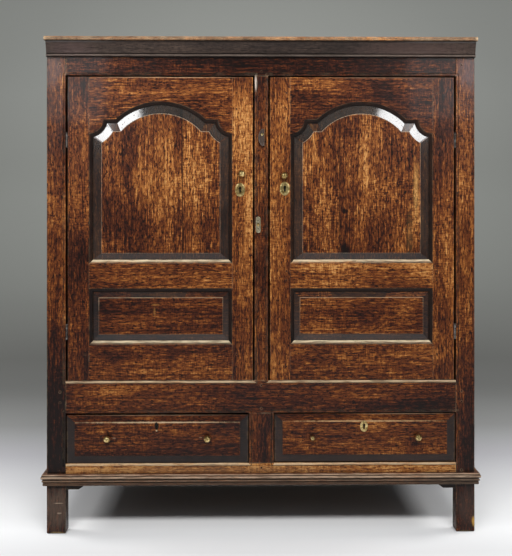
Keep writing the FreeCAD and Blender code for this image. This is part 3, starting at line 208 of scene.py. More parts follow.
def new_group(name, vectors, numbers, outputs):
    """An empty effect with named sockets: vectors and numbers with defaults go in. The results
    are numbers, apart from board coordinates."""
    tree = bpy.data.node_groups.new(name, "ShaderNodeTree")
    for label in vectors:
        tree.interface.new_socket(label, in_out="INPUT", socket_type="NodeSocketVector")
    for label, value in numbers.items():
        socket = tree.interface.new_socket(label, in_out="INPUT", socket_type="NodeSocketFloat")
        socket.default_value = value
    for label in outputs:
        kind = "NodeSocketVector" if label == "Board" else "NodeSocketFloat"
        tree.interface.new_socket(label, in_out="OUTPUT", socket_type=kind)
    web = Web(tree)
    return tree, web, web.node("NodeGroupInput").outputs, web.node("NodeGroupOutput").inputs


def make_oak_figure():
    """Figure of oak on a board's own coordinates: across, through and along the grain.
    Growth rings are rounds about a wandering pith, and pores lie thickest in each ring."""
    tree, web, given, out = new_group("oak_figure", ["Board"], {"Bold": 1.0},
                                      ["Figure", "Pores", "Relief", "Cloud"])
    board = given["Board"]
    slow = web.vector("MULTIPLY", board, (1.0, 1.0, 0.28))
    wander = web.vector("SUBTRACT", web.noise(slow, 5.5, 2.0, 0.5, out="Color"), (0.5, 0.5, 0.5))
    bent = web.vector("ADD", board, web.vector("MULTIPLY", wander, (0.026, 0.026, 0.0)))
    heart = web.vector("MULTIPLY", web.vector("ADD", bent, (0.021, 0.083, 0.0)), (1.0, 1.0, 0.05))
    ring = web.calc("FRACT", web.times(web.vector("LENGTH", heart), 210.0))
    early = web.calc("POWER", web.less(1.0, ring), 2.2)
    cloud = web.noise(board, 6.0, 3.0, 0.55)
    streak = web.grain(bent, (80.0, 80.0, 5.0))
    dash = web.grain(bent, (185.0, 185.0, 44.0), 3.0, 0.7)
    line = web.grain(bent, (230.0, 230.0, 7.0))
    chip = web.grain(bent, (230.0, 230.0, 80.0))
    ray = web.grain(board, (48.0, 48.0, 210.0))
    broad = web.grain(bent, (14.0, 14.0, 1.4), 2.0, 0.55)
    fleck = web.grain(board, (60.0, 700.0, 26.0), 1.0, 0.5)
    pore = web.grain(bent, (1150.0, 1150.0, 42.0), 1.0, 0.5)
    pores = web.span(web.scaled(early, 0.13, pore), 0.60, 0.72)
    figure = web.sway(line, 0.8, web.sway(dash, 1.45, web.sway(streak, 0.45)))
    figure = web.scaled(web.span(chip, 0.56, 0.66), -0.42, figure)
    figure = web.scaled(web.times(web.less(ray, 0.5), web.span(cloud, 0.42, 0.6)), 0.8, figure)
    figure = web.sway(early, -0.09, web.sway(broad, 0.8, figure), middle=0.3)
    figure = web.scaled(web.span(fleck, 0.66, 0.74), 0.07, figure)
    web.give(out, Figure=web.times(figure, given["Bold"]), Pores=pores, Cloud=cloud,
             Relief=web.scaled(pores, -1.0, web.times(dash, 0.35)))
    return tree


def make_handling():
    """Wear, dirt and painted shade from the shape: arrises rub pale, and corners and joints darken,
    partly dark wax and partly painted shade. Worn is where rays inside the wood soon leave it, and
    the darkening where rays outside soon meet it."""
    tree, web, given, out = new_group("handling", ["Place"], {
        "Arris": 0.004, "Corner": 0.02, "Chance": 0.4}, ["Worn", "Grime"])
    inner = web.node("ShaderNodeAmbientOcclusion", {"Distance": given["Arris"]},
                     inside=True, only_local=True, samples=6)
    outer = web.node("ShaderNodeAmbientOcclusion", {"Distance": given["Corner"]}, samples=6)
    wear_and_highlight = web.span(web.less(1.0, inner.outputs["AO"]), 0.08, 0.5)
    chance = web.span(web.noise(given["Place"], 38.0, 4.0, 0.6), given["Chance"], 0.66)
    patch = web.span(web.noise(given["Place"], 55.0, 3.0, 0.6), 0.3, 0.7, 0.65, 1.0)
    web.give(out, Worn=web.times(wear_and_highlight, chance),
             Grime=web.times(web.span(outer.outputs["AO"], 0.88, 0.35), patch))
    return tree


def make_seams():
    """Boards glued edge to edge: a dark line at each seam, and a new stretch of figure past it."""
    tree, web, given, out = new_group("glued_seams", ["Place", "Board"], {
        "First": 0.0, "Second": 0.0}, ["Board", "Seam"])
    across = web.node("ShaderNodeSeparateXYZ", {"Vector": given["Place"]}).outputs["X"]
    across = web.sway(web.noise(given["Place"], 3.0), 0.004, across)
    shift, seams = 0.0, 0.0
    for number, label in enumerate(("First", "Second")):
        past = web.calc("GREATER_THAN", across, given[label])
        shift = web.scaled(past, 1.7 + number, shift)
        away = web.calc("ABSOLUTE", web.less(across, given[label]))
        seams = web.calc("MAXIMUM", seams, web.span(away, 0.0021, 0.0008))
    moved = web.node("ShaderNodeCombineXYZ", {"X": shift, "Z": shift}).outputs[0]
    web.give(out, Board=web.vector("ADD", given["Board"], moved), Seam=seams)
    return tree


def make_soft_patch():
    """A soft round of strength about a place, ragged along the grain: one less the distance
    from its middle in its own radii."""
    tree, web, given, out = new_group("soft_patch", ["Place", "Middle", "Reach"], {
        "Ragged": 0.3}, ["Patch"])
    away = web.vector("DIVIDE", web.vector("SUBTRACT", given["Place"], given["Middle"]),
                      given["Reach"])
    fray = web.grain(given["Place"], (110.0, 110.0, 18.0), 3.0, 0.65)
    near = web.sway(fray, given["Ragged"], web.less(1.0, web.vector("LENGTH", away)))
    web.give(out, Patch=web.span(near, 0.0, 0.75, smooth=True))
    return tree


oak_figure = make_oak_figure()
handling = make_handling()
glued_seams = make_seams()
soft_patch = make_soft_patch()

OLD_WAX = tone(20, 10, 7)

PATINA = [
    (0.00, tone(16, 6, 4)), (0.20, tone(48, 20, 12)), (0.40, tone(84, 40, 20)),
    (0.55, tone(113, 61, 29)), (0.70, tone(145, 86, 40)), (0.85, tone(182, 116, 58)),
    (1.00, tone(214, 156, 92))]
BARE = [
    (0.0, tone(74, 52, 36)), (0.35, tone(116, 86, 60)), (0.7, tone(150, 117, 84)),
    (1.0, tone(184, 152, 114))]


def new_material(name):
    """A material, its web, the inputs of its shader and the places on its object."""
    material = bpy.data.materials.new(name)
    material.use_nodes = True
    web = Web(material.node_tree)
    return (material, web, material.node_tree.nodes["Principled BSDF"].inputs,
            web.node("ShaderNodeTexCoord").outputs["Object"])


def oak(name, wear, ramp=PATINA, bold=1.0, rough=0.44, worn=tone(196, 158, 116), cloudy=0.5,
        arris=0.004, corner=0.014, chance=0.4, coat=0.03, dark=None, seams=None, patches=()):
    """Aged oak: the board's own level and figure go through the patina, then wear, dirt and painted
    shade. Faces marked slope take the dark colour: painted shade in quirks and mouldings, dark wax,
    and the bevels' own dark colour. Faces marked pale are worn pale, with a painted highlight where
    they face up. A patch on the front is (x, z, its three half sizes, strength, colour). Without a
    colour it moves the level.
    Dark is (share, low and high colour, roughness, shine)."""
    material, web, shader, place = new_material(name)
    board = web.attribute("board", "Vector")
    if seams:
        glued = web.group(glued_seams, {"Place": place, "Board": board, "First": seams[0],
                                        "Second": seams[1]})
        board = glued["Board"]
    figure = web.group(oak_figure, {"Board": board, "Bold": bold})
    shape = web.group(handling, {"Place": place, "Arris": arris, "Corner": corner,
                                 "Chance": chance})
    cloud, pores = figure["Cloud"], figure["Pores"]
    value = web.sway(cloud, cloudy, web.plus(web.attribute("level", "Fac"), figure["Figure"]))
    stains = []
    for x, z, wide, deep, high, strength, shade in patches:
        patch = web.group(soft_patch, {
            "Place": place, "Middle": (x, FRONT, z), "Reach": (wide, deep, high),
            "Ragged": 0.9 if shade else 0.5})["Patch"]
        if shade:
            stains.append((web.times(patch, strength), tone(*shade)))
        else:
            value = web.scaled(patch, strength, value)
    colour = web.ramp(value, ramp)
    for share, shade in stains:
        colour = web.mix(share, colour, shade)
    colour = web.mix(web.times(pores, 0.6), colour, OLD_WAX)
    if seams:
        colour = web.mix(web.times(glued["Seam"], 0.8), colour, OLD_WAX)
    dull = web.sway(cloud, 0.4, web.scaled(pores, 0.25, rough))
    shader["Coat Weight"].default_value = coat
    if dark:
        share, low, high, wax_rough, shine = dark
        sunk = web.attribute("slope", "Fac")
        colour = web.mix(web.times(sunk, share), colour,
                         web.ramp(cloud, [(0.34, low), (0.62, high)]))
        dull = web.scaled(sunk, web.less(wax_rough, dull), dull)
        scuff = web.span(web.noise(place, 130.0, 3.0, 0.65), 0.68, 0.60, 0.1, shine)
        film = web.times(web.span(sunk, 0.86, 0.98, 0.25, 1.0), scuff)
        web.feed(shader["Coat Weight"], web.scaled(film, web.span(sunk, 0.0, 0.8), coat))
        shader["Coat IOR"].default_value = 2.0
    # Painted shade: corners and joints darken to near black, partly dirt and partly shade painted
    # in.
    colour = web.mix(web.times(shape["Grime"], 0.9), colour, tone(14, 8, 6))
    scuffed = web.span(web.grain(board, (260.0, 260.0, 22.0), 3.0), 0.34, 0.58, 0.25, 0.9)
    wear_and_highlight = web.calc("MAXIMUM", web.times(shape["Worn"], wear, clamp=True),
                      web.times(web.attribute("wear_and_highlight", "Fac"), scuffed))
    web.feed(shader["Base Color"], web.mix(wear_and_highlight, colour, worn))
    web.feed(shader["Roughness"], web.scaled(wear_and_highlight, 0.15, dull, clamp=True))
    shader["Coat Roughness"].default_value = 0.1
    shader["Specular IOR Level"].default_value = 0.2
    rise = web.scaled(web.grain(board, (30.0, 30.0, 7.0), 3.0), 2.6, figure["Relief"])
    web.ripple(shader, rise, 0.0004, 0.35)
    return material


def metal(name, bright, dull, spot, rough=0.28):
    """Old metal: worn bright on the high places, with a dull skin and small spots."""
    material, web, shader, place = new_material(name)
    shape = web.group(handling, {"Place": place, "Arris": 0.002, "Corner": 0.006})
    cloud = web.noise(place, 90.0, 4.0, 0.6)
    spots = web.span(web.noise(place, 540.0, 2.0, 0.6), 0.6, 0.72)
    colour = web.mix(web.span(cloud, 0.38, 0.62), bright, dull)
    colour = web.mix(web.times(spots, 0.6), colour, spot)
    # Painted shade: the metal darkens in its corners, partly dirt, and goes black on faces marked
    # dark, the walls of keyholes.
    colour = web.mix(web.times(shape["Grime"], 0.8), colour, spot)
    colour = web.mix(web.attribute("slope", "Fac"), colour, tone(12, 9, 7))
    web.feed(shader["Base Color"], colour)
    shader["Metallic"].default_value = 1.0
    web.feed(shader["Roughness"], web.scaled(cloud, 0.3, rough - 0.1))
    web.ripple(shader, cloud, 0.0002, 0.3)
    return material


# Black for quirks and mouldings: painted shade where they lie in shadow, with some dark wax in the
# quirks.
SHADE_AND_WAX_BLACK = (0.94, tone(8, 5, 4), tone(24, 14, 10), 0.6, 0.0)
CHARCOAL = (0.95, tone(22, 17, 15), tone(46, 37, 32), 0.4, 0.95)
SOOT = (0.93, tone(15, 12, 11), tone(46, 37, 34), 0.5, 0.06)
GREY_OAK = [
    (0.0, tone(20, 15, 13)), (0.3, tone(50, 41, 37)), (0.6, tone(82, 68, 60)),
    (1.0, tone(124, 104, 90))]

frame_look = dict(wear=0.35, dark=SHADE_AND_WAX_BLACK, worn=tone(226, 198, 160))
frame_oak = oak("frame_oak_waxed", **frame_look, patches=[
    (-0.018, 1.482, 0.006, 0.02, 0.034, 1.0, (214, 196, 180)),
    (0.33, 0.45, 0.24, 0.05, 0.03, 0.12, None),
    (-0.5, 0.47, 0.15, 0.05, 0.02, 0.12, None)])
stile_oak = oak("stile_oak_waxed", **frame_look, patches=[
    (-0.674, 0.085, 0.07, 0.06, 0.10, 0.62, (112, 94, 82)),
    (-0.668, 0.101, 0.022, 0.05, 0.002, 0.9, (196, 172, 146)),
    (-0.664, 0.068, 0.01, 0.05, 0.004, 0.9, (170, 150, 130)),
    (-0.668, 0.002, 0.034, 0.04, 0.007, 1.0, (204, 172, 116)),
    (0.684, 0.085, 0.05, 0.06, 0.09, 0.45, (92, 74, 66)),
    # Painted reflection: the purple-grey sheen of the soft boxes on the tops of both stiles.
    (-0.69, 1.53, 0.06, 0.06, 0.09, 0.4, (112, 96, 94)),
    (0.69, 1.53, 0.06, 0.06, 0.10, 0.55, (116, 98, 98)),
    (0.702, 0.035, 0.007, 0.04, 0.022, 1.2, (214, 164, 80)),
    (0.672, 0.002, 0.03, 0.04, 0.005, 0.9, (170, 140, 96))])
sill_oak = oak("bottom_rail_oak_waxed", **frame_look, patches=[
    (-0.2, 0.208, 0.7, 0.05, 0.02, 0.35, (150, 118, 84)),
    # Painted shade: the bottom rail is darker below the base moulding, beside the feet.
    (-0.61, 0.150, 0.11, 0.06, 0.016, -1.2, None),
    (0.61, 0.150, 0.11, 0.06, 0.016, -1.2, None)])
door_oak = oak("door_oak_waxed", wear=0.12, dark=SHADE_AND_WAX_BLACK, worn=tone(226, 206, 170), patches=[
    (-0.068, 1.33, 0.05, 0.1, 0.19, 0.1, None),
    (-0.33, 1.40, 0.16, 0.1, 0.05, 0.1, None),
    (-0.30, 1.5005, 0.3, 0.03, 0.0022, 0.9, (176, 140, 108)),
    (0.36, 1.5005, 0.25, 0.03, 0.0018, 0.6, (150, 118, 92)),
    (0.20, 1.47, 0.13, 0.1, 0.04, 0.16, None),
    # Painted shade: black in the keyholes behind the escutcheons.
    (-0.0702, 1.1315, 0.0075, 0.03, 0.016, 3.0, (5, 4, 3)),
    (0.0771, 1.1355, 0.0075, 0.03, 0.016, 3.0, (5, 4, 3)),
    (0.55, 0.60, 0.12, 0.1, 0.12, 0.08, None),
    (-0.60, 1.46, 0.05, 0.1, 0.09, -0.08, None)])
panel_look = dict(cloudy=0.6, dark=CHARCOAL, arris=0.003, chance=0.3)
panel_oak = oak("panel_oak_figured", **panel_look, bold=1.15, wear=0.75, seams=(-0.260, 0.259),
                worn=tone(196, 176, 152), patches=[
    (0.512, 1.13, 0.014, 0.05, 0.13, 0.36, (176, 142, 84)),
    (0.532, 1.03, 0.010, 0.05, 0.12, 0.24, (164, 128, 80)),
    (0.492, 0.99, 0.020, 0.05, 0.10, 0.2, (146, 112, 64)),
    (0.510, 1.09, 0.022, 0.05, 0.18, 0.34, None),
    # Painted highlight: a near-white patch on the right arch's bevel, where the soft box shows.
    (0.463, 1.371, 0.018, 0.05, 0.014, 0.7, (196, 192, 190)),
    (-0.33, 1.16, 0.13, 0.1, 0.2, 0.14, None),
    (-0.47, 0.98, 0.12, 0.1, 0.2, -0.12, None),
    (0.17, 1.22, 0.09, 0.1, 0.16, 0.12, None),
    (0.277, 0.93, 0.02, 0.1, 0.03, -0.5, None),
    (0.277, 1.06, 0.013, 0.1, 0.012, -0.5, None),
    (0.28, 1.33, 0.08, 0.1, 0.05, -0.16, None)])
plain_panel_oak = oak("lower_panel_oak", **panel_look, wear=0.3, worn=tone(204, 178, 146), patches=[
    (-0.26, 0.80, 0.15, 0.05, 0.012, 0.5, None),
    # Painted highlight: a grey sheen at the left end of the left lower panel's top bevel.
    (-0.47, 0.803, 0.09, 0.05, 0.012, 1.0, (98, 88, 90)),
    (0.30, 0.80, 0.2, 0.05, 0.012, 0.35, None),
    (-0.350, 0.752, 0.016, 0.05, 0.004, 0.6, (176, 126, 66)),
    (-0.352, 0.728, 0.005, 0.05, 0.022, 0.6, (166, 116, 62)),
    (0.47, 0.735, 0.05, 0.05, 0.04, 0.12, None)])
drawer_oak = oak("drawer_front_oak", dark=SOOT, wear=0.12, arris=0.003, chance=0.3,
                 worn=tone(204, 170, 128), patches=[
    (-0.342, 0.3652, 0.34, 0.05, 0.0034, 1.0, (214, 184, 146)),
    (0.342, 0.3677, 0.34, 0.05, 0.0034, 1.0, (206, 164, 118)),
    (-0.342, 0.3880, 0.33, 0.05, 0.0022, 0.7, (150, 124, 100)),
    (0.46, 0.3905, 0.22, 0.05, 0.0022, 0.8, (170, 140, 110)),
    (0.616, 0.31, 0.0022, 0.05, 0.05, 0.6, (150, 116, 84)),
    # Painted shade: black in the bare keyhole.
    (-0.345, 0.3535, 0.0085, 0.05, 0.0150, 3.0, (6, 4, 3)),
    (-0.345, 0.3385, 0.004, 0.05, 0.0035, 1.4, (226, 200, 160)),
    (-0.545, 0.313, 0.02, 0.05, 0.0035, -0.4, None),
    (-0.484, 0.314, 0.008, 0.05, 0.002, 0.9, (150, 132, 112)),
    (-0.200, 0.315, 0.007, 0.05, 0.002, 0.9, (164, 140, 116)),
    (0.38, 0.345, 0.045, 0.05, 0.03, 0.22, None),
    (0.50, 0.30, 0.05, 0.05, 0.03, -0.16, None),
    (0.30, 0.247, 0.2, 0.05, 0.006, 0.7, (100, 60, 34)),
    (-0.30, 0.30, 0.12, 0.05, 0.04, -0.06, None)])
cornice_oak = oak("cornice_oak_waxed", ramp=GREY_OAK, wear=0.15, arris=0.003, bold=0.5,
                  dark=SHADE_AND_WAX_BLACK, worn=tone(132, 118, 108), cloudy=0.4, patches=[
    (0.50, 1.59, 0.26, 0.1, 0.05, 0.5, (96, 76, 70)),
    (-0.62, 1.59, 0.10, 0.1, 0.05, 0.5, (90, 72, 70))])
base_oak = oak("base_moulding_oak_rubbed", wear=0.35, chance=0.3, bold=0.8,
               dark=SHADE_AND_WAX_BLACK, worn=tone(220, 188, 158), patches=[
    (0.64, 0.175, 0.16, 0.1, 0.04, 0.6, (62, 48, 42)),
    (-0.69, 0.190, 0.05, 0.1, 0.02, 0.5, (84, 68, 60))])
top_oak = oak("top_board_oak", wear=1.1, arris=0.009, chance=0.2, worn=tone(234, 200, 158),
              cloudy=0.6)
inside_oak = oak("inside_oak_dry", ramp=BARE, rough=0.62, coat=0.0, wear=0.35, bold=0.8)
peg_oak = oak("peg_end_oak", bold=0.4, wear=0.0, corner=0.004)
button_oak = oak("button_wood_dark", ramp=GREY_OAK, bold=0.5, wear=0.5, chance=0.2,
                 worn=tone(140, 128, 120))
brass = metal("brass_worn", tone(246, 220, 156), tone(150, 124, 74), tone(52, 40, 24))
pale_metal = metal("plate_metal_pale", tone(246, 234, 200), tone(200, 184, 150), tone(60, 50, 40))
iron = metal("iron_forged", tone(150, 146, 142), tone(92, 86, 82), tone(60, 36, 24), rough=0.45)


# Wood from the model: each solid becomes a board with its own grain, level and eased arrises.

def read(items, key, kind=float):
    """One property of all corners or faces of a mesh, a row of three for each."""
    values = np.empty(len(items) * 3, dtype=kind)
    items.foreach_get(key, values)
    return values.reshape(-1, 3)


def mark(mesh, name, values, domain="FACE"):
    """A named value on each face or corner: board is a vector, and the rest are numbers."""
    kind, key = ("FLOAT_VECTOR", "vector") if name == "board" else ("FLOAT", "value")
    mesh.attributes.new(name, kind, domain).data.foreach_set(key, np.ravel(values) * 1.0)


def smoothed(mesh, sharp):
    """Shade across the edges that turn by less than so many degrees."""
    mesh.polygons.foreach_set("use_smooth", [True] * len(mesh.polygons))
    mesh.set_sharp_from_angle(angle=math.radians(sharp))


def level_at(levels, places):
    """One level for all places, or read off stops of (place, level)."""
    return levels if np.ndim(levels) == 0 else np.interp(places, *zip(*levels))


def solids_of(node):
    """Corners and triangles of each solid of a CAD node. Triangles belong to one solid where
    they share an edge that only the two of them have."""
    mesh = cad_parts[node].data
    keys = np.round(read(mesh.vertices, "co") * 1e6).astype(np.int64)
    places, renumbered = np.unique(keys, axis=0, return_inverse=True)
    faces = renumbered.reshape(-1)[read(mesh.polygons, "vertices", np.int64)]
    sides = np.sort(np.stack([faces, np.roll(faces, -1, axis=1)], axis=2), axis=2).reshape(-1, 2)
    owner = np.repeat(np.arange(len(faces)), 3)
    codes = sides[:, 0] * (len(places) + 1) + sides[:, 1]
    order = np.argsort(codes, kind="stable")
    _, starts, counts = np.unique(codes[order], return_index=True, return_counts=True)
    pairs = starts[counts == 2]
    first, second = owner[order][pairs], owner[order][pairs + 1]
    label = np.arange(len(faces))
    while True:
        lower = np.minimum(label[first], label[second])
        grown = label.copy()
        np.minimum.at(grown, first, lower)
        np.minimum.at(grown, second, lower)
        grown = grown[grown]
        if np.array_equal(grown, label):
            break
        label = grown
    for value in np.unique(label):
        own = faces[label == value]
        used, local = np.unique(own, return_inverse=True)
        yield places[used] * 1e-6, local.reshape(-1, 3)


def eased(corners, faces, arris, shortest, sharp, step):
    """One solid with its flat faces made whole and its outer arrises taken off."""
    shape = bmesh.new()
    points = [shape.verts.new(corner) for corner in corners]
    for face in faces:
        shape.faces.new([points[index] for index in face])
    bmesh.ops.dissolve_limit(shape, angle_limit=math.radians(0.6), verts=shape.verts,
                             edges=shape.edges)
    if arris:
        outer = [edge for edge in shape.edges if len(edge.link_faces) == 2 and edge.is_convex
                 and edge.calc_face_angle(0.0) > math.radians(sharp)
                 and edge.calc_length() > shortest]
        bmesh.ops.bevel(shape, geom=outer, offset=arris, offset_type="OFFSET", segments=2,
                        profile=0.5, affect="EDGES", clamp_overlap=True, loop_slide=True)
    if step:
        low, high = corners.min(0), corners.max(0)
        axis = int(np.argmax(high - low))
        normal = np.eye(3)[axis]
        for place in np.arange(low[axis] + step, high[axis] - step / 2, step):
            everything = list(shape.verts) + list(shape.edges) + list(shape.faces)
            bmesh.ops.bisect_plane(shape, geom=everything, plane_co=normal * place,
                                   plane_no=normal, dist=1e-6)
    shape.normal_update()
    mesh = bpy.data.meshes.new("eased")
    shape.to_mesh(mesh)
    shape.free()
    return mesh


def seeded(name, index):
    return np.random.default_rng(zlib.crc32(name.encode()) + 97 * index)


def board_shift(name, index):
    """Where in the figure a board is cut, which changes little through its thickness."""
    return seeded(name, index).uniform(-4.0, 4.0, 3) * (1.0, 0.02, 1.0)


def board_frame(name, index, corners):
    """Coordinates along and across a board's grain, moved on by the board's own amount."""
    low, high = corners.min(0), corners.max(0)
    extent = high - low
    along = int(np.argmax(extent))
    across = sorted((axis for axis in range(3) if axis != along), key=lambda axis: -extent[axis])
    return (corners - (low + high) / 2)[:, across + [along]] + board_shift(name, index)


def unmarked(middle, normal):
    return np.zeros(len(middle)), np.zeros(len(middle))


def side_marks(middle, normal):
    """The bevels of the panels in the sides, which lean a little from the side."""
    across = np.abs(normal[:, 0])
    return ((across > 0.9) & (across < 0.9995)) * 0.75, np.zeros(len(middle))


def drawer_marks(middle, normal):
    """The bevels of a drawer front, of which the upper one keeps a browner colour than the rest."""
    lean = (normal[:, 1] < -0.9) & (normal[:, 1] > -0.9995)
    return lean * np.where(normal[:, 2] > 0.05, 0.12, 1.0), np.zeros(len(middle))


def bead_marks(middle, normal):
    """The beads round the openings of the frame: pale below the openings, worn and with a painted
    highlight where the bead faces up, and painted shade in the quirks and grooves elsewhere.
    """
    across, up, front = np.abs(middle[:, 0]), middle[:, 2], middle[:, 1] < FRONT + 0.004
    drawer_sill = (up > 0.2222) & (up < 0.2305) & (across > 0.041) & (across < 0.643)
    door_sill = (up > 0.4942) & (up < 0.5025) & (across > 0.023) & (across < 0.643)
    sill = front & (drawer_sill | door_sill)
    quirk = front & (np.abs(normal[:, 1]) < 0.5) & ~sill
    groove = front & (normal[:, 1] < -0.9) & (middle[:, 1] > FRONT + 0.001)
    return (quirk | groove) * 0.9, sill * 0.9


def dressed(node, material, body, levels, arris=0.0011, shortest=0.009, spread=0.04,
            step=0.09, marks=unmarked, sharp=38.0, sink=0.0):
    """A finished piece in the place of a wooden CAD node. Levels are (place, level) along the
    longest side of the piece, or one level for all of it."""
    corners_all, faces_all, board_all, level_all = [], [], [], []
    middle_all, normal_all, count = [], [], 0
    low, high = (np.array(corner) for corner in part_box(node))
    axis = int(np.argmax(high - low))
    for index, (corners, faces) in enumerate(solids_of(node)):
        mesh = eased(corners, faces, arris, shortest, sharp, step)
        places = read(mesh.vertices, "co")
        places[places[:, 1] < FRONT + 0.0001, 1] += sink
        chance = seeded(node, index + 50).uniform(-spread, spread)
        corners_all.append(places)
        board_all.append(board_frame(node, index, places))
        level_all.append(np.full(len(places), level_at(levels, places[:, axis])) + chance)
        middle_all.append(read(mesh.polygons, "center"))
        normal_all.append(read(mesh.polygons, "normal"))
        faces_all += [[corner + count for corner in face.vertices] for face in mesh.polygons]
        count += len(places)
        bpy.data.meshes.remove(mesh)
    mesh = bpy.data.meshes.new("worn_" + node)
    mesh.from_pydata(np.concatenate(corners_all).tolist(), [], faces_all)
    slope, wear_and_highlight = marks(np.concatenate(middle_all), np.concatenate(normal_all))
    mark(mesh, "board", np.concatenate(board_all), "POINT")
    mark(mesh, "level", np.concatenate(level_all), "POINT")
    mark(mesh, "slope", slope)
    mark(mesh, "wear_and_highlight", wear_and_highlight)
    smoothed(mesh, 50.0)
    mesh.validate()
    piece = finish_piece("worn_" + node, mesh, material, body, (node,))
    piece.modifiers.new("flat_faces", "WEIGHTED_NORMAL").keep_sharp = True


def finish_piece(name, mesh, material, body, nodes):
    piece = stand(name, mesh)
    mesh.materials.append(material)
    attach(piece, body)
    if nodes:
        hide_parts(*nodes)
    return piece


def shell_mesh(name, grid, close_rows=False, smooth=40.0):
    """A surface on a grid of places whose columns run round. Rows may close on themselves too,
    and otherwise the first and last row are capped."""
    rows, columns = grid.shape[:2]
    index = np.arange(rows * columns).reshape(rows, columns)
    if close_rows:
        index = np.vstack([index, index[:1]])
    after = np.roll(index, -1, axis=1)
    faces = np.stack([index[:-1], index[1:], after[1:], after[:-1]], 2).reshape(-1, 4).tolist()
    if not close_rows:
        faces += [index[0].tolist(), index[-1][::-1].tolist()]
    mesh = bpy.data.meshes.new(name)
    mesh.from_pydata(grid.reshape(-1, 3).tolist(), [], faces)
    shape = bmesh.new()
    shape.from_mesh(mesh)
    if shape.calc_volume(signed=True) < 0:
        bmesh.ops.reverse_faces(shape, faces=shape.faces)
    shape.to_mesh(mesh)
    shape.free()
    smoothed(mesh, smooth)
    return mesh


def ring_piece(name, grid, material, body, nodes, board, level, slope, wear_and_highlight,
               close_rows=False, smooth=3.0):
    """A finished piece on a closed grid in mm, with its board coordinates and level on the corners
    and its marks on the faces, row by row."""
    mesh = shell_mesh(name, grid * 0.001, close_rows, smooth)
    mark(mesh, "board", board, "POINT")
    mark(mesh, "level", np.broadcast_to(level, grid.shape[:2]), "POINT")
    for label, marks in (("slope", slope), ("wear_and_highlight", wear_and_highlight)):
        values = np.zeros(len(mesh.polygons))
        values[:marks.size] = marks.ravel()
        mark(mesh, label, values)
    finish_piece(name, mesh, material, body, nodes)


# Mouldings along the cupboard: a profile of (out, height) carried along a plan.

def swell(core, out, low, height, count=9):
    """Half round: it leaves the core at its foot, stands out at its middle and comes back."""
    turn = np.linspace(-math.pi / 2, math.pi / 2, count)
    return np.stack([core + out * np.cos(turn), low + height / 2 * (1 + np.sin(turn))], 1)


def carried_moulding(name, profile, corners, leans, step, bites, material, level, slope, wear_and_highlight,
                     nodes):
    """Each place is the plan's place, plus out times the plan's lean, at the profile's height.
    Bites are (share of the length, width, depth) and take a soft round out of the edge."""
    runs, ways = [], []
    for first, last, lean, turn in zip(corners, corners[1:], leans, leans[1:]):
        length = math.dist(first, last)
        share = np.linspace(0.0, 1.0, max(2, int(length / step)), endpoint=False)[:, None]
        runs.append(np.array(first) + (np.array(last) - first) * share)
        ways.append(np.array(lean) + (np.array(turn) - lean) * share)
    plan = np.concatenate(runs + [np.array([corners[-1]])])
    way = np.concatenate(ways + [np.array([leans[-1]])])
    length = np.concatenate([[0.0], np.cumsum(np.linalg.norm(np.diff(plan, axis=0), axis=1))])
    bite = np.zeros(len(plan))
    for place, width, depth in bites:
        bite += depth * np.exp(-((length - place * length[-1]) / width) ** 2)
    out = profile[:, 0] - bite[:, None] * np.clip((profile[:, 0] - 8.0) / 3.0, 0.0, 1.0)
    grid = np.empty((len(plan), len(profile), 3))
    grid[:, :, :2] = plan[:, None] + out[:, :, None] * way[:, None]
    grid[:, :, 2] = profile[:, 1]
    board = np.stack(np.broadcast_arrays(profile[:, 0] + 300.0, profile[:, 1], length[:, None]), 2)
    faces = (len(plan) - 1, len(profile))
    ring_piece(name, grid, material, "carcass", nodes, board * 0.001, level,
               np.broadcast_to(slope, faces), np.broadcast_to(wear_and_highlight, faces), smooth=32.0)


def along_profile(profile, core, stops):
    """Shares for the faces of a profile, read off stops of (height, share), outside its core."""
    height = (profile[:, 1] + np.roll(profile[:, 1], -1)) / 2
    outside = np.minimum(profile[:, 0], np.roll(profile[:, 0], -1)) > core
    return np.interp(height, *zip(*stops)) * outside


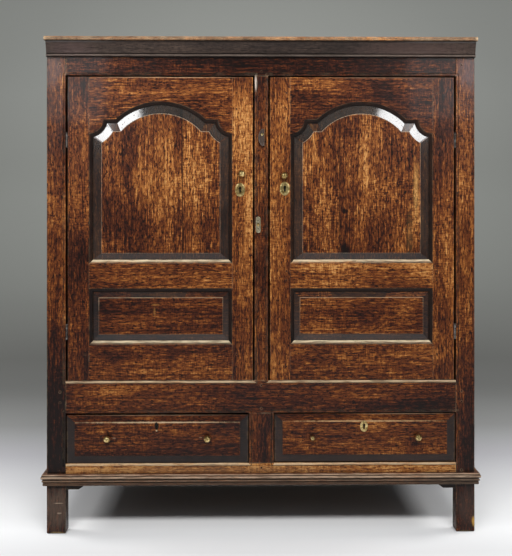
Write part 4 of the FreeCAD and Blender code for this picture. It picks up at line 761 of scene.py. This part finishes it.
def make_mouldings():
    """The base moulding goes round three sides, the cornice along the front."""
    base = np.concatenate([
        [(0.0, 161.0), (10.2, 161.0), (11.0, 161.8), (11.0, 170.2), (10.4, 171.0), (9.6, 172.0)],
        swell(10.0, 4.0, 172.5, 8.0), swell(10.0, 7.0, 182.0, 13.0, 13),
        [(14.0, 195.0), (14.0, 197.4), (13.4, 198.0), (0.0, 198.0)]])
    # Painted shade: dark on the fascia and in the quirks. Painted highlight: pale on the crowns of
    # the bead and the swell and on the top fillet, with wear.
    slope = along_profile(base, 9.0, [
        (161, 0.85), (170, 0.75), (172, 1.0), (174, 0.5), (180, 0.6), (181.5, 0.9), (183, 0.2),
        (184, 0.0), (190.5, 0.0), (192, 0.8), (194.5, 0.85), (196, 0.2)])
    wear_and_highlight = along_profile(base, 9.0, [
        (164, 0.0), (167, 0.2), (170, 0.0), (174, 0.15), (176, 0.5), (178.5, 0.15), (181, 0.0),
        (183, 0.5), (184.5, 1.0), (190, 1.0), (191.5, 0.2), (194, 0.1), (196, 0.9)])
    chance = seeded("base_chips", 0)
    bites = np.stack([chance.uniform(0.28, 0.72, 30), chance.uniform(3.0, 11.0, 30),
                      chance.uniform(0.3, 1.9, 30)], 1)
    carried_moulding(
        "carved_base_moulding", base, [(-705, 279), (-705, -251), (705, -251), (705, 279)],
        [(-1, 0), (-1, -1), (1, -1), (1, 0)], 6.0, bites, base_oak, 0.46, slope, wear_and_highlight,
        ("base_moulding",))

    share = np.linspace(0.0, 1.0, 15)
    hollow = np.stack([10.0 + 10.0 * share - 1.5 * np.sin(math.pi * share),
                       1578.0 + 34.0 * share], 1)
    cornice = np.concatenate([
        [(0.0, 1567.0)], swell(10.0, 3.0, 1567.0, 9.0), [(8.0, 1576.4)], hollow,
        [(20.0, 1612.0), (20.0, 1618.0), (0.0, 1618.0)]])
    # Painted shade: black under the bead and in the quirk above it, and darker at the top under the
    # top board. Painted highlight: a pale line along the bead, with wear.
    slope = along_profile(cornice, 7.0, [
        (1567, 0.9), (1569, 0.2), (1575, 0.1), (1576.5, 1.0), (1577.5, 1.0), (1580, 0.1),
        (1610, 0.0), (1616, 0.6)])
    wear_and_highlight = along_profile(cornice, 7.0, [(1568, 0.0), (1571, 0.6), (1574, 0.3), (1576, 0.0)])
    carried_moulding(
        "carved_cornice", cornice, [(-705, -251), (705, -251)], [(0, -1), (0, -1)], 12.0, [],
        cornice_oak, 0.42, slope, wear_and_highlight, ("cornice",))


def make_woodwork():
    """The fixed frame. Levels follow how dark each board is along its length."""
    frame_parts = {
        "front_left_stile": [(0.0, 0.34), (0.16, 0.08), (0.45, 0.05), (0.72, 0.54), (1.1, 0.68),
                             (1.35, 0.46), (1.6, 0.38)],
        "front_right_stile": [(0.0, 0.28), (0.2, 0.20), (0.5, 0.35), (0.9, 0.64), (1.3, 0.50),
                              (1.6, 0.34)],
        "front_top_rail": [(-0.7, 0.2), (-0.2, 0.14), (0.2, 0.12), (0.5, 0.16), (0.7, 0.22)],
        "front_middle_rail": [(-0.65, 0.38), (-0.2, 0.44), (0.15, 0.40), (0.65, 0.34)],
        "front_bottom_rail": [(-0.65, 0.94), (0.0, 0.82), (0.65, 0.86)],
        "door_muntin": [(0.5, 0.5), (0.95, 0.44), (1.05, 0.46), (1.12, 0.62), (1.3, 0.68),
                        (1.4, 0.52), (1.5, 0.34)],
        "drawer_muntin": 0.34}
    own = {"front_left_stile": stile_oak, "front_right_stile": stile_oak,
           "front_bottom_rail": sill_oak}
    for node, levels in frame_parts.items():
        dressed(node, own.get(node, frame_oak), "carcass", levels, marks=bead_marks)
    dressed("side_rails", frame_oak, "carcass", 0.36)
    dressed("side_panels", panel_oak, "carcass", 0.40, arris=0.0005,
            marks=side_marks)
    dressed("back_stiles", frame_oak, "carcass", 0.32)
    dressed("top_boards", top_oak, "carcass", 0.46, spread=0.08)
    make_mouldings()
    for node, level in (("back_rails", 0.4), ("back_boards", 0.45), ("cupboard_floor", 0.5),
                        ("cupboard_shelf", 0.55), ("board_bearers", 0.45),
                        ("drawer_runners", 0.45)):
        dressed(node, inside_oak, "carcass", level, spread=0.1)
    dressed("frame_pegs", peg_oak, "carcass", 0.22, arris=0.0, step=0.0, sink=0.0006)


# Doors: rings drawn in from the outer line of the moulding round each opening, in mm.

DOOR_MIDDLE = 331.15
OPENING_HALF = 235.75
EAR_RADIUS, EAR_HEIGHT = 47.0, 1363.5
CROWN_RADIUS, CROWN_HEIGHT, STEP_RISE = 217.64, 1204.86, 158.64
ARCH_FOOT, LOWER_FOOT, LOWER_HEAD = 888.0, 621.0, 807.0


def half_ring(parts):
    """The right half of a ring from its foot to its top, mirrored to make the whole."""
    half = np.concatenate([part[:-1] for part in parts] + [parts[-1][-1:]])
    return np.concatenate([half, half[-2:0:-1] * (-1.0, 1.0)])


def turn_run(middle, radius, first, last, count):
    """Part of a circle about its middle."""
    turn = np.linspace(first, last, count)
    return np.stack([middle[0] + radius * np.cos(turn), middle[1] + radius * np.sin(turn)], 1)


def arch_ring(inset, foot):
    """Outline of the arched opening drawn in by an inset: up the side to a quarter round about
    the corner, in along a step, and over by an arc about a middle low in the opening."""
    lobe, radius = EAR_RADIUS + inset, CROWN_RADIUS - inset
    lean = math.asin(inset / lobe)
    rise = math.asin((STEP_RISE - inset) / radius)
    low, side = ARCH_FOOT + foot, OPENING_HALF - inset
    ear = turn_run((OPENING_HALF, EAR_HEIGHT), lobe, 1.5 * math.pi - lean, math.pi + lean, 13)
    crown = turn_run((0.0, CROWN_HEIGHT), radius, rise, math.pi / 2, 25)
    return half_ring([np.linspace((0.0, low), (side, low), 14),
                      np.linspace((side, low), ear[0], 20), ear,
                      np.linspace(ear[-1], crown[0], 4), crown])


def square_ring(inset, foot):
    """Outline of the lower opening drawn in by an inset, with its own inset at the foot."""
    low, high, side = LOWER_FOOT + foot, LOWER_HEAD - inset, OPENING_HALF - inset
    return half_ring([np.linspace((0.0, low), (side, low), 14),
                      np.linspace((side, low), (side, high), 9),
                      np.linspace((side, high), (0.0, high), 14)])


def ringed(ring, rows, middle):
    """Rings at (inset, foot inset, depth), set about the door's middle line."""
    grid = np.empty((len(rows), len(ring(20.0, 20.0)), 3))
    for row, (inset, foot, depth) in zip(grid, rows):
        row[:, [0, 2]] = ring(inset, foot) + (middle, 0.0)
        row[:, 1] = FRONT * 1000 + depth
    return grid


def sight_moulding(name, ring, middle, body, level):
    """Quarter round about the opening, a third of a millimetre proud of the solid frame: inset
    grows with the share, and depth falls away as a circle does."""
    share = np.sin(np.linspace(0.0, math.pi / 2, 9))
    rows = [(0.25, 1.2), (0.75, 1.2)]
    rows += list(zip(12.3 - 11.25 * (1 - share), 1.2 + 6.5 * (1 - np.sqrt(1 - share ** 2))))
    rows += [(12.3, 8.85), (6.0, 8.85), (0.25, 5.0)]
    grid = ringed(ring, [(inset, inset, depth) for inset, depth in rows], middle)
    low = grid[:, :, 2].min(1, keepdims=True)
    foot = grid[:, :, 2] < low + 0.01
    foot = foot & np.roll(foot, -1, axis=1)
    count = np.arange(len(rows))
    # Painted shade: the moulding is black over the top and sides of the opening. Painted highlight:
    # its up-facing foot is pale, with wear.
    slope = np.where(foot, 0.0, np.interp(count, [0, 2], [0.8, 1.0])[:, None])
    wear_and_highlight = foot * np.interp(count, [0, 3, 5], [0.1, 0.3, 1.0])[:, None]
    length = np.linalg.norm(np.roll(grid[:1], -1, axis=1) - grid[:1], axis=2)
    inset = np.array(rows)[:, :1] + 40.0 * (middle > 0)
    board = np.stack(np.broadcast_arrays(inset, np.array(rows)[:, 1:],
                                         np.cumsum(length, axis=1)), 2)
    ring_piece(name, grid, door_oak, body, (), board * 0.001, level, slope,
               wear_and_highlight, close_rows=True, smooth=30.0)


def fielded_panel(name, ring, middle, body, node, side, levels, upright):
    """Panel with tongue, bevel and field. The field's rings close in on the panel's middle. The
    bevel is charcoal, and browner where it runs level along the top."""
    head, foot = 12.0 + side, 33.0
    field = (head + 1.9, foot + 1.9, 3.5)
    rows = [(4.0, 4.0, 14.0)] * 3 + [
        (4.0, 4.0, 9.0), (12.0, 12.0, 9.0), (head, foot, 5.0), (head, foot, 4.0),
        (head + 0.5, foot + 0.5, 3.5)] + [field] * 6
    shares = np.array([0.02, 0.6] + [1.0] * 7 + [0.8, 0.6, 0.4, 0.2, 0.02])[:, None]
    grid = ringed(ring, rows, middle)
    heart = (grid[:, :, 2].max() + grid[:, :, 2].min()) / 2 - (40.0 if upright else 0.0)
    grid[:, :, 0] = middle + (grid[:, :, 0] - middle) * shares
    grid[:, :, 2] = heart + (grid[:, :, 2] - heart) * shares
    slope, wear_and_highlight = np.zeros((2, len(rows) - 1, grid.shape[1]))
    across, _, up = grid[3].T
    top_run = ((np.abs(np.roll(up, -1) - up) < 1.0) & (up > heart)
               & (np.abs(across - middle) > 100.0))
    slope[3:5] = np.interp(up, [1200.0, 1360.0], [0.86, 1.0])
    slope[3:5, top_run] = 0.8 if upright else 0.35
    slope[5] = 0.7
    # The field's arris is paler along the tops of the fields than up the sides: wear, with painted
    # highlight where it faces up.
    wear_and_highlight[6:8] = np.interp(up, [740.0, 800.0, 900.0, 1250.0, 1340.0], [0.2, 0.7, 0.2, 0.3, 0.7])
    board = grid[:, :, [0, 1, 2] if upright else [2, 1, 0]] * 0.001 + board_shift(node, 0)
    ring_piece(name, grid, panel_oak if upright else plain_panel_oak, body, (node,),
               board, level_at(levels, grid[:, :, 2] * 0.001), slope, wear_and_highlight)


def make_doors():
    """Stiles, rails and pegs are dressed. Panels and the mouldings round them are new rings."""
    door_parts = {
        "left": {
            "hinge_stile": [(0.5, 0.28), (0.9, 0.32), (1.2, 0.42), (1.5, 0.22)],
            "lock_stile": [(0.5, 0.52), (0.75, 0.58), (1.1, 0.70), (1.25, 0.84), (1.42, 0.86),
                           (1.5, 0.62)],
            "bottom_rail": 0.44, "middle_rail": 0.53, "top_rail": 0.42,
            "arched_panel": [(0.9, 0.40), (1.1, 0.49), (1.3, 0.56), (1.42, 0.48)],
            "lower_panel": 0.36},
        "right": {
            "hinge_stile": [(0.5, 0.58), (0.9, 0.64), (1.2, 0.44), (1.5, 0.24)],
            "lock_stile": [(0.5, 0.62), (0.75, 0.62), (1.1, 0.62), (1.25, 0.68), (1.42, 0.68),
                           (1.5, 0.54)],
            "bottom_rail": 0.50, "middle_rail": 0.64, "top_rail": 0.34,
            "arched_panel": [(0.9, 0.44), (1.1, 0.50), (1.3, 0.55), (1.42, 0.50)],
            "lower_panel": 0.53}}
    for side, parts in door_parts.items():
        body = side + "_door"
        middle = -DOOR_MIDDLE if side == "left" else DOOR_MIDDLE
        for part, levels in parts.items():
            name = f"{side}_door_{part}"
            if part == "arched_panel":
                fielded_panel("figured_" + name, arch_ring, middle, body, name, 28.0, levels, True)
            elif part == "lower_panel":
                fielded_panel("figured_" + name, square_ring, middle, body, name, 19.0, levels,
                              False)
            else:
                dressed(name, door_oak, body, levels, arris=0.001, spread=0.0)
        sight_moulding(f"{side}_door_arch_moulding", arch_ring, middle, body, 0.5)
        sight_moulding(f"{side}_door_lower_moulding", square_ring, middle, body, 0.42)
        dressed(f"{side}_door_pegs", peg_oak, body, 0.2, arris=0.0, step=0.0, sink=0.0006)


def make_drawers():
    """Fronts dark at their ends and bevels, boxes in dry oak."""
    for side, levels in (("left", [(-0.65, 0.25), (-0.35, 0.36), (0.0, 0.35)]),
                         ("right", [(0.0, 0.42), (0.35, 0.54), (0.65, 0.44)])):
        body = side + "_drawer"
        dressed(f"{side}_drawer_front", drawer_oak, body, levels, marks=drawer_marks,
                arris=0.0008, shortest=0.006, sharp=25.0)
        dressed(f"{side}_drawer_box", inside_oak, body, 0.55, spread=0.08)


def turned(name, foot, profile, around="Y", count=40):
    """Turned form: (radius, rise) stations go round an axis. Around Y, rise comes forward."""
    profile = np.array(profile) * 0.001
    turn = np.linspace(0.0, 2 * math.pi, count, endpoint=False)
    radius, rise = profile[:, :1], np.repeat(profile[:, 1:], count, axis=1)
    if around == "Y":
        parts = (radius * np.cos(turn), -rise, radius * np.sin(turn))
    else:
        parts = (radius * np.cos(turn), radius * np.sin(turn), rise)
    return shell_mesh(name, np.stack(parts, 2) + np.array(foot))


def arc_stations(radius, centre, first, last, count, squash):
    """Stations on part of an ellipse about (0, centre) whose half rise is squash times radius."""
    turn = np.radians(np.linspace(first, last, count))
    return np.stack([radius * np.cos(turn), centre + squash * radius * np.sin(turn)], 1).tolist()


def knob_mesh(name, x, z, radius, board, dimple):
    """Collar, neck, round head with a small hollow, and the shank and nut behind the board."""
    size = radius / 11.5
    collar, neck = 6.4 * size, 4.2 * size
    profile = [(7.0, -board - 4.0), (7.0, -board), (3.0, -board), (3.0, 0.0), (collar, 0.0)]
    profile += [(collar, 1.0), (collar - 0.5, 1.6), (neck + 0.5, 2.2), (neck, 3.2), (neck, 4.4)]
    profile += arc_stations(radius, 14.6, -64.0, 0.0, 10, 0.86)
    profile += arc_stations(radius, 14.6, 9.0, 90 - 9.0 * dimple, 9, 10.2 / radius)
    profile += [(dimple, 24.2), (dimple * 0.86, 23.4), (dimple * 0.5, 22.8), (0.05, 22.7)]
    return turned(name, (x * 0.001, FRONT, z * 0.001), profile)


def joined(name, meshes):
    """Several meshes as one."""
    shape = bmesh.new()
    for mesh in meshes:
        shape.from_mesh(mesh)
        bpy.data.meshes.remove(mesh)
    whole = bpy.data.meshes.new(name)
    shape.to_mesh(whole)
    shape.free()
    return whole


def plate_mesh(name, low, high, ease):
    """Flat plate in mm with eased edges: four rows of rounded rectangle, drawn in at both faces."""
    low, high = np.array(low), np.array(high)
    half, middle = (high - low) / 2, (high + low) / 2
    thin = int(np.argmin(half))
    wide, tall = [axis for axis in range(3) if axis != thin]
    turn = np.linspace(0.0, 2 * math.pi, 32, endpoint=False) + math.pi / 32
    share = np.stack([np.cos(turn), np.sin(turn)], 1)
    share = np.sign(share) * np.minimum(1.0, np.abs(share) * 1.38)
    depth = high[thin] - low[thin]
    rows = np.empty((4, 32, 3))
    for row, (rise, draw) in zip(rows, ((0, ease), (ease, 0), (depth - ease, 0), (depth, ease))):
        row[:, wide] = middle[wide] + share[:, 0] * (half[wide] - draw)
        row[:, tall] = middle[tall] + share[:, 1] * (half[tall] - draw)
        row[:, thin] = low[thin] + rise
    return shell_mesh(name, rows * 0.001, smooth=30.0)


def escutcheon_mesh(name, x, z, width, height):
    """Oval plate round a keyhole. Rays from a point in the keyhole cross its outline and then the
    oval's, and the rows between them rise over a lip, a low dome and a raised rim."""
    count, eye, lift, slot_half, slot_foot = 96, 3.9, 3.4, 2.5, 11.7
    turn = np.linspace(0.0, 2 * math.pi, count, endpoint=False)
    along = np.stack([np.cos(turn), np.sin(turn)], 1)
    round_top = np.array([0.0, 4.7 - lift])
    reach = along @ round_top
    hole = reach + np.sqrt(reach ** 2 - round_top @ round_top + eye ** 2)
    with np.errstate(divide="ignore"):
        slot = np.minimum(slot_half / np.abs(along[:, 0]), np.where(
            along[:, 1] < 0, slot_foot / np.maximum(-along[:, 1], 1e-9), 0.0))
    hole = np.maximum(hole, slot)
    a, b = width / 2, height / 2
    p = (along[:, 0] / a) ** 2 + (along[:, 1] / b) ** 2
    q = along[:, 1] * lift / b ** 2
    oval = (-q + np.sqrt(q ** 2 - p * ((lift / b) ** 2 - 1))) / p
    stations = ((0.0, 0.0), (0.0, 1.1), (0.07, 1.35), (0.45, 1.45), (0.76, 1.2), (0.82, 0.9),
                (0.88, 1.5), (0.94, 1.6), (0.99, 1.2), (1.0, 0.7), (1.0, 0.0))
    rows = np.empty((len(stations), count, 3))
    for row, (share, rise) in zip(rows, stations):
        row[:, [0, 2]] = along * (hole + (oval - hole) * share)[:, None] + (x, z + lift)
        row[:, 1] = FRONT * 1000 - rise
    mesh = shell_mesh(name, rows * 0.001, True, 45.0)
    # Painted shade: black on the keyhole's wall and lip, and on the hidden underside.
    dark = np.zeros((len(stations), count))
    dark[[0, 1, -1]] = 1.0
    mark(mesh, "slope", dark)
    return mesh


HINGE_HEIGHTS = (664.0, 1295.0)
HINGE_X, HINGE_Y, KNUCKLE_LENGTH, LEAF_HALF = 0.63965, FRONT - 0.001, 16.7, 25.5


def knuckle_mesh(sign, middle):
    """Barrel of a hinge with eased ends."""
    half = KNUCKLE_LENGTH / 2
    profile = [(1.6, -half), (2.7, -half), (3.1, -half + 0.5), (3.1, half - 0.5), (2.7, half),
               (1.6, half)]
    return turned("knuckle", (sign * HINGE_X, HINGE_Y, middle * 0.001), profile, "Z", 24)


def leaf_parts(sign, inner, outer, middle, knuckles):
    """One leaf of a hinge: its plate in the joint, and at each knuckle a strap and a barrel."""
    low, high = sorted((sign * inner, sign * outer))
    parts = [plate_mesh("leaf", (low, -248.4, middle - LEAF_HALF),
                        (high, -230.4, middle + LEAF_HALF), 0.3)]
    for place in knuckles:
        parts += [knuckle_mesh(sign, place), plate_mesh(
            "strap", (low, -252.0, place - KNUCKLE_LENGTH / 2),
            (high, -247.9, place + KNUCKLE_LENGTH / 2), 0.2)]
    return parts


def make_hinges():
    """Each hinge has three knuckles: the outer two on the frame's leaf, the middle one on the
    door's, and a pin through all of them."""
    frame_side = []
    for side, sign in (("left", -1), ("right", 1)):
        door_side = []
        for middle in HINGE_HEIGHTS:
            door_side += leaf_parts(sign, 636.3, 637.9, middle, (middle,))
            frame_side += leaf_parts(sign, 641.4, 643.0, middle, (middle - 17.0, middle + 17.0))
            frame_side.append(turned("pin", (sign * HINGE_X, HINGE_Y, middle * 0.001),
                                     [(1.5, -25.35), (1.5, 25.35)], "Z", 16))
        finish_piece(f"{side}_door_hinge_iron", joined("door_hinge", door_side), iron,
                     side + "_door", (f"{side}_door_hinge_leaves",))
    finish_piece("frame_hinge_iron", joined("frame_hinge", frame_side), iron, "carcass",
                 ("frame_hinge_leaves",))


def make_fittings():
    """Knobs, escutcheons and hinges are new pieces. The locks keep the model's shape."""
    def brasswork(name, mesh, body, node):
        finish_piece(name + "_brass", mesh, brass, body, (node,))

    for side, knob, plate in (("left", (-64.6, 1183.6), (-70.2, 1131.0)),
                              ("right", (75.1, 1177.6), (77.1, 1135.0))):
        body = side + "_door"
        brasswork(body + "_knob", knob_mesh("door_knob", *knob, 11.5, 22.0, 1.0), body,
                  body + "_knob")
        brasswork(body + "_escutcheon", escutcheon_mesh("door_escutcheon", *plate, 33.6, 45.5),
                  body, body + "_escutcheon")
    drawer_brass = {
        "left": [knob_mesh("outer", -506.0, 314.0, 11.5, 22.0, 1.4),
                 knob_mesh("inner", -178.0, 314.0, 11.5, 22.0, 1.2)],
        "right": [knob_mesh("inner", 168.0, 316.5, 8.0, 22.0, 1.6),
                  knob_mesh("outer", 516.0, 316.5, 11.5, 22.0, 3.2),
                  escutcheon_mesh("drawer_escutcheon", 338.7, 350.5, 26.0, 36.0)]}
    for side, meshes in drawer_brass.items():
        brasswork(side + "_drawer_knobs", joined(side + "_knobs", meshes), side + "_drawer",
                  side + "_drawer_knobs")
        for part in ("door_lock_case", "door_lock_bolt", "drawer_lock", "drawer_bolt"):
            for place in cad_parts[f"{side}_{part}"].material_slots:
                place.material = iron
    make_hinges()
    dressed("lower_turn_button", pale_metal, "lower_button", 0.5, 0.0007, 0.0015, step=0.0)
    dressed("button_pivots", brass, "carcass", 0.5, arris=0.0, step=0.0)
    dressed("upper_turn_button", button_oak, "upper_button", 0.6, 0.0015, 0.003,
            step=0.0)


# Studio: a pale floor that turns up into a grey backdrop, two soft boxes and soft fills.

def make_sweep():
    """The sweep is a profile, floor then quarter round then wall, drawn along X. Its colour and
    glow follow the way back and up, and light that it gives back to the object is dimmer."""
    turn = np.linspace(0.0, math.pi / 2, 25)
    radius, back = 1.4, 1.9
    profile = np.concatenate([
        [(-6.0, 0.0)], np.stack([back + radius * np.sin(turn), radius * (1 - np.cos(turn))], 1),
        [(back + radius, 7.0)]])
    across = np.linspace(-9.0, 9.0, 13)
    grid = np.array([[(x, y, z) for x in across] for y, z in profile])
    rows, columns = grid.shape[:2]
    index = np.arange(rows * columns).reshape(rows, columns)
    faces = np.stack([index[:-1, :-1], index[:-1, 1:], index[1:, 1:], index[1:, :-1]], 2)
    mesh = bpy.data.meshes.new("studio_sweep")
    mesh.from_pydata(grid.reshape(-1, 3).tolist(), [], faces.reshape(-1, 4).tolist())
    mesh.polygons.foreach_set("use_smooth", [True] * len(mesh.polygons))
    sweep = stand("studio_sweep", mesh)
    material, web, shader, place = new_material("studio_paper")
    parts = web.node("ShaderNodeSeparateXYZ", {"Vector": place}).outputs
    reach = web.plus(parts["Y"], web.times(parts["Z"], 1.2))
    colour = web.ramp(web.span(reach, -0.4, 5.6), [
        (0.0, tone(232, 232, 232)), (0.03, tone(250, 250, 250)), (0.06, tone(240, 240, 240)),
        (0.165, tone(186, 185, 188)), (0.246, tone(150, 150, 148)), (0.352, tone(132, 132, 129)),
        (0.48, tone(122, 122, 118)), (0.62, tone(139, 140, 135)), (0.84, tone(171, 173, 167)),
        (1.0, tone(184, 186, 180))])
    seen = web.seen()
    dim = web.mix(1.0, colour, (0.11, 0.11, 0.11, 1.0), "MULTIPLY")
    web.feed(shader["Base Color"], web.mix(seen, dim, colour))
    shader["Roughness"].default_value = 0.9
    shader["Specular IOR Level"].default_value = 0.1
    glow = web.times(seen, web.span(reach, 0.5, 1.6, 0.0, 0.08, smooth=True))
    web.feed(shader["Emission Color"], web.mix(glow, (0.0, 0.0, 0.0, 1.0), colour))
    shader["Emission Strength"].default_value = 1.0
    mesh.materials.append(material)
    sweep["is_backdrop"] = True


def make_air():
    """Dim light from the sky, and a plain grey where the world itself is seen."""
    world = bpy.data.worlds.new("studio_air")
    world.use_nodes = True
    air = Web(world.node_tree)
    way = air.node("ShaderNodeTexCoord").outputs["Generated"]
    up = air.node("ShaderNodeSeparateXYZ", {"Vector": way}).outputs["Z"]
    sky = air.ramp(air.span(up, -0.1, 1.0), [
        (0.0, (0.015, 0.015, 0.016, 1.0)), (0.35, (0.10, 0.104, 0.11, 1.0)),
        (1.0, (0.5, 0.52, 0.55, 1.0))])
    air.feed(world.node_tree.nodes["Background"].inputs["Color"],
             air.mix(air.seen(), sky, tone(112, 114, 110)))
    bpy.context.scene.world = world


def make_lamps():
    """Two soft boxes that show in the wax of the arches, and fills that don't show."""
    for name, place, aim, size, power in (
            ("soft_box_left", (-1.0, -1.575, 1.74), (-0.48, -0.24, 1.4), (0.53, 0.48), 7.2),
            ("soft_box_right", (1.0, -1.575, 1.74), (0.48, -0.24, 1.4), (0.50, 0.46), 6.0),
            ("front_fill", (0.0, -3.2, 3.5), (0.0, 0.0, 0.6), (3.0, 0.7), 120.0),
            ("back_fill", (0.0, 1.7, 3.6), (0.0, 0.3, 0.7), (1.6, 0.8), 16.0),
            ("side_fill_left", (-2.4, 0.15, 1.9), (-0.75, 0.05, 0.0), (0.7, 0.7), 24.0),
            ("side_fill_right", (2.4, 0.15, 1.9), (0.75, 0.05, 0.0), (0.7, 0.7), 24.0)):
        lamp = bpy.data.lights.new(name, "AREA")
        lamp.shape = "RECTANGLE"
        lamp.size, lamp.size_y = size
        lamp.energy = power
        light = stand(name, lamp)
        light.location = place
        light.visible_glossy = name.startswith("soft_box")
        light.visible_camera = False
        line = Vector(aim) - Vector(place)
        light.rotation_euler = line.to_track_quat("-Z", "Y").to_euler()


place_camera()
make_woodwork()
make_doors()
make_drawers()
make_fittings()
make_sweep()
make_air()
make_lamps()
bpy.context.scene.view_settings.view_transform = "Standard"

[[list(map(float, corner)) for corner in box] for box in (cad_box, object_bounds())]
